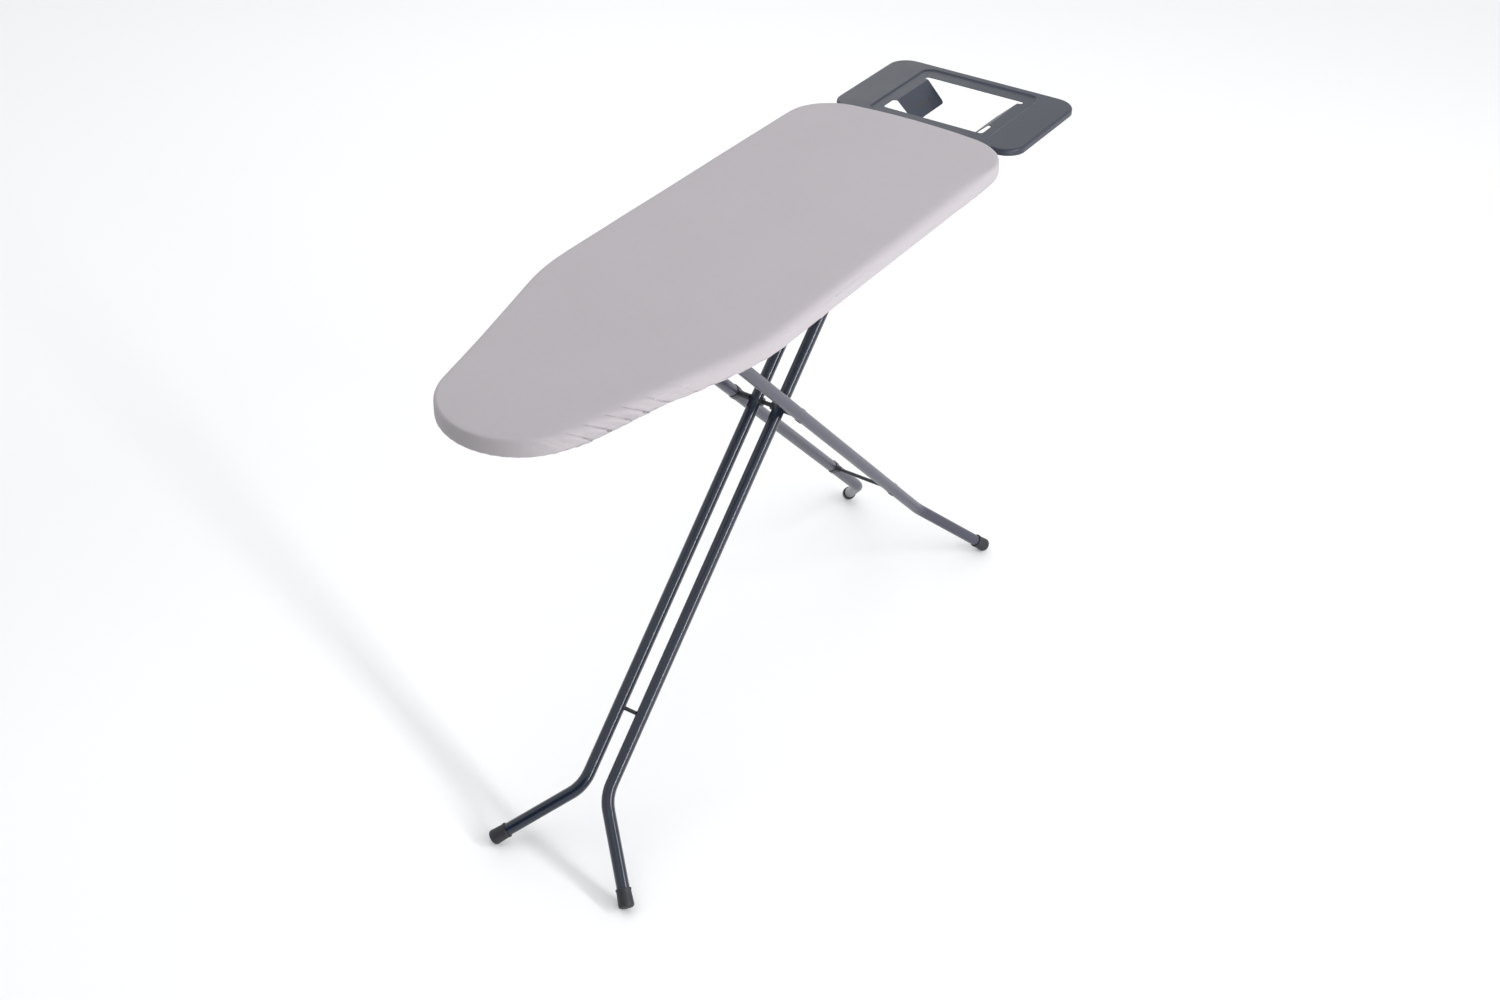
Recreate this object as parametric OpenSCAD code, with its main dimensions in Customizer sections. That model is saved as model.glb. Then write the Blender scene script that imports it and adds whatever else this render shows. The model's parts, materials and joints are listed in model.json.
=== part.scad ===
// Folding ironing board: a padded steel-mesh top on two crossed pairs of bent tube legs,
// with a pressed steel iron rest at the tail.
// Axes: +X from the nose to the iron rest, +Z up, origin on the floor under the middle.
// Millimetres and degrees.

/* [Board] */
// Length of the board from nose to tail
board_l = 1240; // [1040:10:1500]
// Width across the parallel sides
board_w = 412; // [344:2:496]
// Height of the ironing surface above the floor
top_h = 970; // [806:2:1164]
// Radius of the blunt nose
nose_r = 120; // [100:1:144]
// Half angle of the tapered part behind the nose
taper = 15; // [12:0.5:18]
// Radius that blends the taper into the parallel sides
shoulder_r = 420; // [350:5:504]
// Radius of the two tail corners
tail_r = 95; // [80:1:114]
// Radius of the slightly bowed tail edge
tail_bow_r = 900; // [750:10:1080]

/* [Cover and pad] */
// Thickness of the cotton cover
cover_t = 1.2; // [1:0.1:1.5]
// Room between the edge rim and the hem that is turned in under it
hem_gap = 0.6; // [0.5:0.1:1]
// Width of the hem that is turned in under the board
hem_w = 25; // [21:1:30]
// Side of the elastic cord in the hem
elastic_d = 2.2; // [1.8:0.1:2.6]
// Thickness of the felt pad
pad_t = 8.8; // [7.3:0.1:10.5]

/* [Steel top] */
// Thickness of the mesh panel
panel_t = 1.2; // [1:0.1:1.5]
// Length of one diamond opening along the board
mesh_l = 46; // [38:1:55]
// Width of one diamond opening
mesh_w = 26; // [22:1:31]
// Strip of solid steel between neighbouring openings
mesh_web = 8; // [6.5:0.5:9.5]
// Width of the channel-section edge rim
rim_w = 15; // [12.5:0.5:18]
// Depth of the edge rim
rim_d = 14; // [14:0.5:16.5]
// Sheet thickness of rim and braces
sheet_t = 1.4; // [1.2:0.1:1.7]
// Width of a cross brace
brace_w = 26; // [22:1:31]
// Depth of a cross brace
brace_d = 12; // [11:0.5:13]

/* [Legs] */
// Angle of the legs to the floor when standing
leg_angle = 44.5; // [40:0.5:48]
// Distance from the fixed top axle to the crossing axle
arm_l = 438; // [365:1:480]
// Distance from the nose to the fixed top axle
top_axle_x = 1078; // [1060:1:1100]
// Depth of both top axles below the ironing surface
axle_drop = 46; // [45:0.5:50]
// Outside diameter of the leg tube
tube_d = 22; // [18.5:0.5:26.4]
// Wall thickness of the leg tube
tube_wall = 1.2; // [1:0.1:1.5]
// Centre distance of the two front tubes
front_gap = 47.4; // [40:0.2:50]
// Centre distance of the two rear tubes
rear_gap = 138.6; // [132:0.2:160]
// Centre-line radius of the foot bends
bend_r = 70; // [58:1:84]
// Outward bend of the front feet
front_splay = 38.6; // [32:0.2:46]
// Length of a front foot, from the bend's corner to its end
front_foot = 188; // [157:1:226]
// Outward bend of the rear feet
rear_splay = 26; // [22:0.5:31]
// Length of a rear foot, from the bend's corner to its end
rear_foot = 218; // [182:1:262]
// How far a tube runs on past its top axle
tube_end = 14; // [12:0.5:15]

/* [Axles and rods] */
// Diameter of the fixed top axle and of the slide bar
bar_d = 10; // [8.5:0.5:12]
// Diameter of the crossing axle
cross_d = 8; // [6.5:0.5:9.6]
// Diameter of the welded tie rods
tie_d = 7; // [6:0.5:8.5]
// Height of the front tie rod up the leg from the bend's corner
front_tie = 147; // [122:1:176]
// Height of the rear tie rod up the leg from the bend's corner
rear_tie = 156; // [130:1:187]
// Diameter of the saddles' bosses
boss_d = 12; // [11:0.5:14]
// Diameter of the washers welded to the front tubes
washer_d = 15; // [13:0.5:18]
// Thickness of the welded washers
washer_t = 4; // [3:0.5:5]
// Width of the saddles' bands, along the rear tubes
band_l = 15; // [12:0.5:18]
// Thickness of the saddles' bands
band_t = 1.3; // [1:0.1:1.6]
// Height of the boss on a tie rod's saddle
tie_boss = 7; // [5:0.5:9]
// Radial clearance of a running fit
run_gap = 0.05; // [0.03:0.01:0.08]
// Clearance between faces that move past each other
side_gap = 0.5; // [0.4:0.1:0.8]

/* [Foot caps] */
// Wall thickness of the rubber cap
cap_wall = 2.5; // [2:0.1:3]
// Length of the cap
cap_l = 32; // [27:1:38]
// Thickness of the cap's end
cap_end = 5; // [4:0.5:6]
// Depth of the flat where the cap meets the floor
foot_flat = 1.2; // [1:0.1:1.4]

/* [Slide rails] */
// Diameter of the bush that runs in the rail's slot
bush_d = 14; // [13:0.5:16]
// Sheet thickness of the rails
rail_t = 2; // [1.6:0.1:2.4]
// Width of the rail's top flange
rail_flange = 20; // [17:1:24]
// Rail left beyond each end of the slot
rail_end = 18; // [15:1:22]
// Angle left between legs and board when folded flat
fold_rest = 2; // [2:0.1:3]

/* [Height lever] */
// Number of height notches
notches = 5; // [3:1:6]
// Distance between height notches
notch_pitch = 29; // [24:1:34]
// Thickness of the lever and the latch comb
lever_t = 3; // [2.5:0.1:3.6]
// Width of the lever arm
lever_w = 15; // [13:0.5:18]
// Distance of the latch comb from the middle
comb_y = 46; // [44:0.5:48]
// Reach of the lever's end from the middle
lever_reach = 188; // [175:1:192]
// Diameter of the lever pin
pin_d = 6; // [5:0.5:7]

/* [Iron rest] */
// Length of the iron rest
rest_l = 264; // [232:1:317]
// Width of the iron rest
rest_w = 380; // [320:1:400]
// Gap between the board's tail and the iron rest
rest_gap = 16; // [13:0.5:19]
// Depth of the iron rest's face below the ironing surface
rest_drop = 20; // [19:0.5:22]
// Sheet thickness of the iron rest
rest_t = 1.2; // [1:0.1:1.5]
// Depth of the turned-down edge
rest_edge = 12; // [10:0.5:14]
// Corner radius of the iron rest
rest_r = 38; // [32:1:45]
// Width of the raised border at the two ends of the iron rest
border_x = 18; // [15:1:22]
// Width of the raised border along its two sides
border_y = 72; // [60:1:80]
// Depth of the step inside the border
rest_step = 2.5; // [2:0.1:3]
// Length of the opening along the board
window_l = 171; // [143:1:178]
// Width of the opening
window_w = 190; // [170:1:228]
// Steel between the opening and the outer end
window_end = 49; // [44:1:58]
// Length of a flap at its fold
flap_root = 118; // [99:1:128]
// Length of a flap at its tip
flap_tip = 112; // [94:1:118]
// Height of a flap from fold to tip
flap_h = 54; // [45:1:64]
// Angle that the flaps are bent down
flap_angle = 43; // [36:1:51]
// Radius of the rounded relief notches beside the flaps
notch_r = 6.5; // [5.5:0.5:7.5]
// Length of the recess pressed into a flap
slot_l = 54; // [45:1:64]
// Width of the recess
slot_w = 7; // [6:0.5:8.5]
// Distance of the recess from the fold
slot_at = 32; // [27:1:38]
// Depth of the recess
slot_depth = 0.6; // [0.5:0.1:0.7]
// Width of a support arm
arm_w = 18; // [15:1:21]
// Thickness of a support arm
arm_t = 3; // [2.5:0.1:3.6]
// Gap between the opening's side and a support arm
arm_gap = 6; // [5:0.5:7]

/* [Hidden] */
$fn = 64;

near = -1;
far = 1;
eps = 0.1;
arc_steps = 14;

fabric = [0.72, 0.70, 0.73];
felt = [0.85, 0.84, 0.80];
elastic = [0.92, 0.92, 0.90];
galvanised = [0.62, 0.63, 0.65];
zinc = [0.72, 0.73, 0.75];
front_paint = [0.20, 0.24, 0.30];
rear_paint = [0.38, 0.41, 0.46];
rest_paint = [0.40, 0.42, 0.46];
black_steel = [0.10, 0.11, 0.13];
black_rubber = [0.12, 0.12, 0.14];
dark_plastic = [0.16, 0.17, 0.20];

// Places along the board are measured from the nose; nose_x moves them into the model's frame.
overall_l = board_l + rest_gap + rest_l;
nose_x = -overall_l / 2;

// Levels, from the top down
pad_top = top_h - cover_t;
panel_top = pad_top - pad_t;
panel_low = panel_top - panel_t;
rim_low = panel_low - rim_d;
brace_low = panel_low - brace_d;
hem_low = rim_low - hem_gap - cover_t;
axle_z = top_h - axle_drop;
rest_z = top_h - rest_drop;
field_low = rest_z - rest_step - rest_t;

// Legs
tube_r = tube_d / 2;
front_y = front_gap / 2;
rear_y = rear_gap / 2;
cross_x = top_axle_x - arm_l * cos(leg_angle);
cross_z = axle_z - arm_l * sin(leg_angle);
cap_r = tube_r + cap_wall;
slide_rest_x = top_axle_x - 2 * arm_l * cos(leg_angle);
slide_fold_x = top_axle_x - 2 * arm_l * cos(fold_rest);

// Sine of a foot's slope to the floor, and the height of its end's centre
function foot_slope(splay) = cos(splay) * sin(leg_angle);
function foot_end_z(splay) = cap_r * sqrt(1 - pow(foot_slope(splay), 2)) - foot_flat;
// Distance down the leg from the crossing axle to the corner of the foot's bend
function bend_at(splay, foot) = (cross_z - foot_end_z(splay)) / sin(leg_angle) - foot * cos(splay);

// Rails stand outside the rear tubes
bush_flange = 3;
rail_in = rear_y + tube_r + bush_flange + side_gap;
slot_h = bush_d + 2 * side_gap;
slot_x0 = slide_fold_x - slot_h / 2 - 2;
slot_x1 = slide_rest_x + slot_h / 2;
rail_x0 = slot_x0 - rail_end;
rail_x1 = slot_x1 + rail_end;
rail_low = axle_z - slot_h / 2 - 5;
bar_half = rail_in + rail_t + 8;

// Board outline: nose, shoulder, tail corner and bowed tail, each tangent to the next
half_w = board_w / 2;
taper_k = nose_r * (1 - sin(taper));
shoulder_x = ((half_w - shoulder_r) * cos(taper) + shoulder_r - taper_k) / sin(taper);
corner_y = half_w - tail_r;
tail_turn = asin(corner_y / (tail_bow_r - tail_r));
corner_x = board_l - tail_bow_r + (tail_bow_r - tail_r) * cos(tail_turn);

function arc(c, r, a0, a1, n) =
    [for (i = [0:n]) let (a = a0 + (a1 - a0) * i / n) c + r * [cos(a), sin(a)]];

function outline_side(inset) = concat(
    arc([nose_r, 0], nose_r - inset, 180, 90 + taper, arc_steps),
    arc([shoulder_x, half_w - shoulder_r], shoulder_r - inset, 90 + taper, 90, 6),
    arc([corner_x, corner_y], tail_r - inset, 90, tail_turn, arc_steps),
    arc([board_l - tail_bow_r, 0], tail_bow_r - inset, tail_turn * 2 / 3, 0, 2));

module outline(inset = 0) {
    side = outline_side(inset);
    last = len(side) - 1;
    mirrored = [for (i = [last - 1:-1:1]) [side[i][0], -side[i][1]]];
    translate([nose_x, 0]) polygon(concat(side, mirrored));
}

module slab(inset, z0, z1) {
    translate([0, 0, z0]) linear_extrude(z1 - z0) outline(inset);
}

// Half width of the inset outline at a distance from the nose
function half_at(x, inset = 0) =
    x < nose_r - (nose_r - inset) * sin(taper) ? sqrt(pow(nose_r - inset, 2) - pow(nose_r - x, 2))
    : x < shoulder_x - (shoulder_r - inset) * sin(taper) ? (taper_k - inset + x * sin(taper)) / cos(taper)
    : x < shoulder_x ? half_w - shoulder_r + sqrt(pow(shoulder_r - inset, 2) - pow(shoulder_x - x, 2))
    : x < corner_x ? half_w - inset
    : corner_y + sqrt(pow(tail_r - inset, 2) - pow(x - corner_x, 2));

// A box from one corner to the other, with X measured from the nose
module block(a, b) {
    translate([nose_x + a[0], a[1], a[2]]) cube(b - a);
}

// A cylinder along Y from y0 to y1, with X measured from the nose
module rod_y(x, z, d, y0, y1) {
    translate([nose_x + x, y0, z]) rotate([-90, 0, 0]) cylinder(d = d, h = y1 - y0);
}

// A cylinder along X from x0 to x1, with X measured from the nose
module rod_x(y, z, d, x0, x1) {
    translate([nose_x + x0, y, z]) rotate([0, 90, 0]) cylinder(d = d, h = x1 - x0);
}

module rounded_plate(x0, x1, half, r, z0, z1) {
    pts = concat(
        arc([x1 - r, half - r], r, 90, 0, 8), arc([x1 - r, r - half], r, 0, -90, 8),
        arc([x0 + r, r - half], r, -90, -180, 8), arc([x0 + r, half - r], r, 180, 90, 8));
    translate([nose_x, 0, z0]) linear_extrude(z1 - z0) polygon(pts);
}

// A domed rivet head under a sheet, its shank up through two thicknesses
module rivet(x, y, z, d = 8) {
    translate([nose_x + x, y, z - 1.6]) cylinder(d1 = d * 0.7, d2 = d, h = 1.6);
}

// ---- Cover and pad ----

module cover() {
    color(fabric) difference() {
        slab(0, hem_low, top_h);
        slab(cover_t, hem_low + cover_t, pad_top);
        slab(hem_w, hem_low - eps, hem_low + 2 * cover_t);
    }
}

module hem_elastic() {
    color(elastic) difference() {
        slab(hem_w - elastic_d, hem_low + cover_t, hem_low + cover_t + elastic_d);
        slab(hem_w, hem_low, hem_low + 2 * elastic_d + cover_t);
    }
}

module felt_pad() {
    color(felt) slab(cover_t, panel_top, pad_top);
}

// ---- Steel top ----

mesh_margin = rim_w + mesh_web + cover_t;
pitch_x = mesh_l + 2 * mesh_web;
pitch_y = (mesh_w + mesh_web) / 2;

module mesh_panel() {
    rows = floor((half_w - mesh_margin - mesh_w / 2) / pitch_y);
    cols = floor((board_l - 2 * mesh_margin) / pitch_x);
    color(galvanised) translate([0, 0, panel_low]) linear_extrude(panel_t) difference() {
        outline(cover_t);
        for (j = [-rows:rows], i = [0:cols]) {
            x = mesh_margin + mesh_l / 2 + (i + abs(j % 2) / 2) * pitch_x;
            x_end = min(x + mesh_l / 2, board_l - mesh_margin - mesh_web);
            room = min(half_at(x - mesh_l / 2, mesh_margin), half_at(x_end, mesh_margin));
            if (x_end == x + mesh_l / 2 && abs(j) * pitch_y + mesh_w / 2 < room)
                translate([nose_x + x, j * pitch_y]) polygon([
                    [-mesh_l / 2, 0], [0, -mesh_w / 2], [mesh_l / 2, 0], [0, mesh_w / 2]]);
        }
    }
}

module edge_rim() {
    color(galvanised) difference() {
        slab(cover_t, rim_low, panel_low);
        slab(cover_t + sheet_t, rim_low + sheet_t, panel_low - sheet_t);
        slab(cover_t + rim_w, rim_low - eps, panel_low + eps);
    }
}

// A channel across the board, open upwards, its ends against the rim
module brace(x, w) {
    inset = cover_t + rim_w + side_gap;
    half = min(half_at(x - w / 2, inset), half_at(x + w / 2, inset));
    color(galvanised) difference() {
        block([x - w / 2, -half, brace_low], [x + w / 2, half, panel_low]);
        block([x - w / 2 + sheet_t, -half - eps, brace_low + sheet_t],
              [x + w / 2 - sheet_t, half + eps, panel_low + eps]);
    }
}

brace_nose_x = rail_x0 + brace_w / 2;
brace_mid_x = rail_x1 - brace_w / 2;
brace_axle_w = 2 * brace_w;
brace_tail_x = board_l - hem_w - 41;

module brace_nose() { brace(brace_nose_x, brace_w); }
module brace_mid() { brace(brace_mid_x, brace_w); }
module brace_axle() { brace(top_axle_x, brace_axle_w); }
module brace_tail() { brace(brace_tail_x, brace_w); }

// ---- Rails that the slide bar runs in ----

module slide_rail(side) {
    y0 = side * rail_in;
    color(zinc) difference() {
        union() {
            block([rail_x0, min(y0, y0 + side * rail_flange), brace_low - rail_t],
                  [rail_x1, max(y0, y0 + side * rail_flange), brace_low]);
            block([rail_x0, min(y0, y0 + side * rail_t), rail_low],
                  [rail_x1, max(y0, y0 + side * rail_t), brace_low - rail_t]);
        }
        block([slot_x0 + slot_h / 2, -bar_half, axle_z - slot_h / 2],
              [slot_x1 - slot_h / 2, bar_half, axle_z + slot_h / 2]);
        for (x = [slot_x0 + slot_h / 2, slot_x1 - slot_h / 2])
            rod_y(x, axle_z, slot_h, -bar_half, bar_half);
    }
}

module slide_rail_near() { slide_rail(near); }
module slide_rail_far() { slide_rail(far); }

module rail_rivets() {
    color(zinc) for (side = [near, far], x = [brace_nose_x, brace_mid_x])
        rivet(x, side * (rail_in + rail_flange * 0.6), brace_low - rail_t);
}

// ---- Fixed top axle's bracket ----

ear_t = 2.5;
ear_in = front_y + tube_r + side_gap;
ear_r = bar_d / 2 + 7;
bracket_l = brace_axle_w - 4;

module axle_bracket() {
    foot = 15;
    color(zinc) difference() {
        union() {
            block([top_axle_x - bracket_l / 2, -ear_in - ear_t - foot, brace_low - ear_t],
                  [top_axle_x + bracket_l / 2, ear_in + ear_t + foot, brace_low]);
            for (side = [near, far]) {
                y = side > 0 ? ear_in : -ear_in - ear_t;
                block([top_axle_x - ear_r, y, axle_z], [top_axle_x + ear_r, y + ear_t, brace_low - ear_t]);
                rod_y(top_axle_x, axle_z, 2 * ear_r, y, y + ear_t);
            }
        }
        rod_y(top_axle_x, axle_z, bar_d + 2 * run_gap, -ear_in - 2 * foot, ear_in + 2 * foot);
    }
}

module bracket_rivets() {
    color(zinc) for (side = [near, far], dx = [-bracket_l / 3, bracket_l / 3])
        rivet(top_axle_x + dx, side * (ear_in + ear_t + 8), brace_low - ear_t);
}

// ---- Iron rest ----

rest_x0 = board_l + rest_gap;
rest_x1 = rest_x0 + rest_l;
window_x1 = rest_x1 - window_end;
window_x0 = window_x1 - window_l;
flap_x = (window_x0 + window_x1) / 2 + 14.5;
fold_y = window_w / 2;
arm_y = fold_y + arm_gap + arm_w / 2;
arm_under = hem_low - 0.3;

// A trapezoid tongue bent down at its fold; its root is set into the thickness of the field
module flap(side) {
    set_in = 0.2;
    tip_in = (flap_root - flap_tip) / 2;
    translate([nose_x + flap_x, side * fold_y, rest_z - rest_step - set_in]) rotate([side * flap_angle, 0, 0])
        difference() {
            translate([0, 0, -rest_t]) linear_extrude(rest_t)
                polygon([[-flap_root / 2, side * set_in], [flap_root / 2, side * set_in],
                    [flap_root / 2 - tip_in, -side * flap_h], [-flap_root / 2 + tip_in, -side * flap_h]]);
            translate([0, -side * slot_at, -slot_depth]) {
                translate([0, 0, rest_t / 2]) cube([slot_l - slot_w, slot_w, rest_t], center = true);
                for (dx = [-1, 1])
                    translate([dx * (slot_l - slot_w) / 2, 0, 0]) cylinder(d = slot_w, h = rest_t);
            }
        }
}

// A round-ended cut through the field, from one end's centre to the other's
module notch(x0, x1, y) {
    for (x = [x0, x1])
        translate([nose_x + x, y, field_low - eps]) cylinder(r = notch_r, h = rest_step + rest_t);
    block([min(x0, x1), y - notch_r, field_low - eps], [max(x0, x1), y + notch_r, rest_z - rest_step + 2 * eps]);
}

module iron_rest() {
    half = rest_w / 2;
    step_r = rest_r / 2;
    color(rest_paint) union() {
        // raised border with its turned-down edge
        difference() {
            rounded_plate(rest_x0, rest_x1, half, rest_r, rest_z - rest_edge, rest_z);
            rounded_plate(rest_x0 + rest_t, rest_x1 - rest_t, half - rest_t, rest_r - rest_t,
                rest_z - rest_edge - eps, rest_z - rest_t);
            rounded_plate(rest_x0 + border_x, rest_x1 - border_x, half - border_y, step_r,
                rest_z - rest_edge, rest_z + eps);
            // notches for the support arms in the edge next to the board
            for (side = [near, far])
                block([rest_x0 - 1, side * arm_y - arm_w / 2 - side_gap, rest_z - rest_edge - 1],
                      [rest_x0 + rest_t + 1, side * arm_y + arm_w / 2 + side_gap, arm_under + side_gap]);
        }
        // stepped field inside the border, with the opening and a relief notch beyond each end of a fold
        difference() {
            rounded_plate(rest_x0 + border_x - rest_t, rest_x1 - border_x + rest_t, half - border_y + rest_t,
                step_r + rest_t, field_low, rest_z - rest_t / 2);
            rounded_plate(rest_x0 + border_x, rest_x1 - border_x, half - border_y, step_r,
                rest_z - rest_step, rest_z + eps);
            block([window_x0, -fold_y, field_low - eps], [window_x1, fold_y, rest_z]);
            for (side = [near, far]) {
                notch(window_x0 + notch_r + side_gap, flap_x - flap_root / 2 - notch_r - side_gap, side * fold_y);
                notch(flap_x + flap_root / 2 + notch_r + side_gap, window_x1 - notch_r - side_gap, side * fold_y);
            }
        }
        for (side = [near, far]) flap(side);
    }
}

// A joggled flat bar: up against the braces, down under the hem, up under the iron rest
module rest_arm(side) {
    under = arm_under;
    low = under - arm_t;
    x0 = brace_tail_x - brace_w / 2 - 10;
    x1 = brace_tail_x + brace_w / 2;
    x2 = rest_x0 + rest_t + 4;
    x3 = window_x0 + 6;
    color(black_steel) translate([nose_x, side * arm_y + arm_w / 2, 0]) rotate([90, 0, 0])
        linear_extrude(arm_w) polygon([
            [x0, brace_low], [x1, brace_low], [x1 + 6, under], [x2, under], [x2 + 6, field_low], [x3, field_low],
            [x3, field_low - arm_t], [x2 + 7, field_low - arm_t], [x2 + 1, low], [x1 + 5, low],
            [x1 - 1, brace_low - arm_t], [x0, brace_low - arm_t]]);
}

module rest_arm_near() { rest_arm(near); }
module rest_arm_far() { rest_arm(far); }

module rest_rivets() {
    color(zinc) for (side = [near, far]) {
        rivet(brace_tail_x, side * arm_y, brace_low - arm_t);
        rivet(rest_x0 + 24, side * arm_y, field_low - arm_t);
        rivet(window_x0 - 4, side * arm_y, field_low - arm_t);
    }
}

// ---- Height lever ----

lever_z = axle_z + 12;
lever_x0 = rail_x1 + 6;
lever_x1 = lever_x0 + lever_w;
hub_r = pin_d / 2 + 4;
bracket_half = hub_r + 2;
lever_y = rail_in + rail_flange + side_gap + bracket_half;
comb_top = axle_z - bar_d / 2 - side_gap;
tooth_h = 6;
comb_h = 15;
strip_z = axle_z + 7;
plate_t = 2;
bracket_x1 = lever_x1 + side_gap + plate_t;

module lever_bracket() {
    color(zinc) difference() {
        union() {
            block([brace_mid_x - brace_w / 2, lever_y - bracket_half, brace_low - plate_t],
                  [bracket_x1, lever_y + bracket_half, brace_low]);
            for (x = [lever_x0 - side_gap - plate_t, lever_x1 + side_gap]) {
                block([x, lever_y - hub_r, lever_z], [x + plate_t, lever_y + hub_r, brace_low - plate_t]);
                rod_x(lever_y, lever_z, 2 * hub_r, x, x + plate_t);
            }
        }
        rod_x(lever_y, lever_z, pin_d, lever_x0 - 5, bracket_x1 + 1);
    }
}

module lever_pin() {
    head = 2;
    spring_room = 9;
    color(zinc) {
        rod_x(lever_y, lever_z, pin_d, lever_x0 - side_gap - plate_t, bracket_x1 + spring_room);
        rod_x(lever_y, lever_z, pin_d + 4, lever_x0 - side_gap - plate_t - head, lever_x0 - side_gap - plate_t);
    }
}

module lever_screws() {
    color(zinc) for (dx = [-7, 7])
        rivet(brace_mid_x + dx, lever_y, brace_low - plate_t, 7);
}

// The arm is a flat strip from the comb to the hub, cranked down to the grip
module lever_arm() {
    grip_z = lever_z - 12;
    bend_y = lever_y + 30;
    color(zinc) difference() {
        translate([nose_x + lever_x0, 0, 0]) rotate([90, 0, 90]) linear_extrude(lever_w) union() {
            polygon([[comb_y - lever_t / 2, strip_z], [lever_y, strip_z], [bend_y, grip_z - lever_t],
                [lever_reach - 4, grip_z - lever_t], [lever_reach - 4, grip_z], [bend_y + 1, grip_z],
                [lever_y, lever_z + lever_t / 2], [lever_y - hub_r, strip_z + lever_t],
                [comb_y - lever_t / 2, strip_z + lever_t]]);
            translate([lever_y, lever_z]) circle(r = hub_r);
        }
        rod_x(lever_y, lever_z, pin_d + 2 * run_gap, lever_x0 - 1, lever_x1 + 1);
    }
}

// Teeth stand up on the nose side of each height position, just below the slide bar
module latch_comb() {
    root_z = comb_top - tooth_h;
    low_z = comb_top - comb_h;
    start = slide_rest_x - (notches - 0.5) * notch_pitch;
    gullet = bar_d + 3;
    tooth = notch_pitch - gullet;
    teeth = [for (i = [0:notches - 1])
        let (x = slide_rest_x - bar_d / 2 - 1.5 - i * notch_pitch)
        each [[x, root_z], [x, comb_top], [x - tooth * 0.4, comb_top], [x - tooth, root_z]]];
    color(zinc) translate([nose_x, comb_y + lever_t / 2, 0]) rotate([90, 0, 0]) linear_extrude(lever_t)
        polygon(concat([[lever_x0, root_z]], teeth, [[start - 12, root_z], [start - 12, low_z],
            [lever_x1, low_z], [lever_x1, strip_z], [lever_x0, strip_z]]));
}

module lever_grip() {
    grip_z = lever_z - 12;
    y0 = lever_y + 36;
    mid = (lever_x0 + lever_x1) / 2;
    color(dark_plastic) difference() {
        union() {
            block([lever_x0 - 3, y0, grip_z - lever_t - 3], [lever_x1 + 3, lever_reach - 9, grip_z + 3]);
            translate([nose_x + mid, lever_reach - 9, grip_z - lever_t - 3])
                cylinder(r = lever_w / 2 + 3, h = lever_t + 6);
        }
        block([lever_x0, y0 - 1, grip_z - lever_t], [lever_x1, lever_reach - 4, grip_z]);
    }
}

// Torsion spring on the pin's outer end: a coil along X whose two ends run on as straight legs
spring_turns = 4.5;
spring_steps = 16;

module lever_spring() {
    wire_r = 0.7;
    ring_r = pin_d / 2 + wire_r + 0.3;
    pitch = 2 * wire_r + 0.2;
    leg_up = brace_low - plate_t - lever_z - 1.5;
    leg_low = 12;
    n = spring_turns * spring_steps;
    function turn(i) = 360 * i / spring_steps;
    function radial(a) = [0, cos(a), -sin(a)];
    // each station is a centre and the outward direction of the coil there
    coil = [for (i = [0:n]) [[pitch * i / spring_steps, 0, 0] + ring_r * radial(turn(i)), radial(turn(i))]];
    stations = concat([[coil[0][0] + [0, 0, leg_up], coil[0][1]]], coil,
        [[coil[n][0] + [0, 0, leg_low], coil[n][1]]]);
    sides = 8;
    points = [for (s = stations, k = [0:sides - 1]) let (a = 360 * k / sides)
        s[0] + wire_r * (cos(a) * s[1] + sin(a) * [1, 0, 0])];
    last = len(stations) - 1;
    quads = [for (i = [0:last - 1], k = [0:sides - 1]) let (j = (k + 1) % sides)
        [i * sides + k, (i + 1) * sides + k, (i + 1) * sides + j, i * sides + j]];
    ends = [[for (k = [0:sides - 1]) k], [for (k = [sides - 1:-1:0]) last * sides + k]];
    color(zinc) translate([nose_x + bracket_x1 + 1.2, lever_y, lever_z])
        polyhedron(points, concat(quads, ends), convexity = 6);
}

// ---- Legs ----

// Places the children on the crossing axle, local +X down the leg, local Y across the board
module front_frame() {
    translate([nose_x + cross_x, 0, cross_z]) rotate([0, 180 - leg_angle, 0]) children();
}

module rear_frame() {
    translate([nose_x + cross_x, 0, cross_z]) rotate([0, leg_angle, 0]) children();
}

// A bent tube: straight leg, bend and straight foot, drilled right through for its top axle.
// The hole for the crossing axle goes right through too, or through the inner wall only.
// The bend's wall is a hair thicker and laps over the straights, as a drawn bend's does.
bend_lap = 1;
bend_swell = 0.1;

module straight_tube(l) {
    rotate([0, 90, 0]) difference() {
        cylinder(r = tube_r, h = l);
        translate([0, 0, -1]) cylinder(r = tube_r - tube_wall, h = l + 2);
    }
}

module tube_bend(side, splay) {
    rotate([0, 0, side > 0 ? -90 : 90 - splay]) rotate_extrude(angle = splay, $fn = 128)
        translate([bend_r, 0]) difference() {
            circle(r = tube_r + bend_swell);
            circle(r = tube_r - tube_wall - bend_swell);
        }
}

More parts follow.
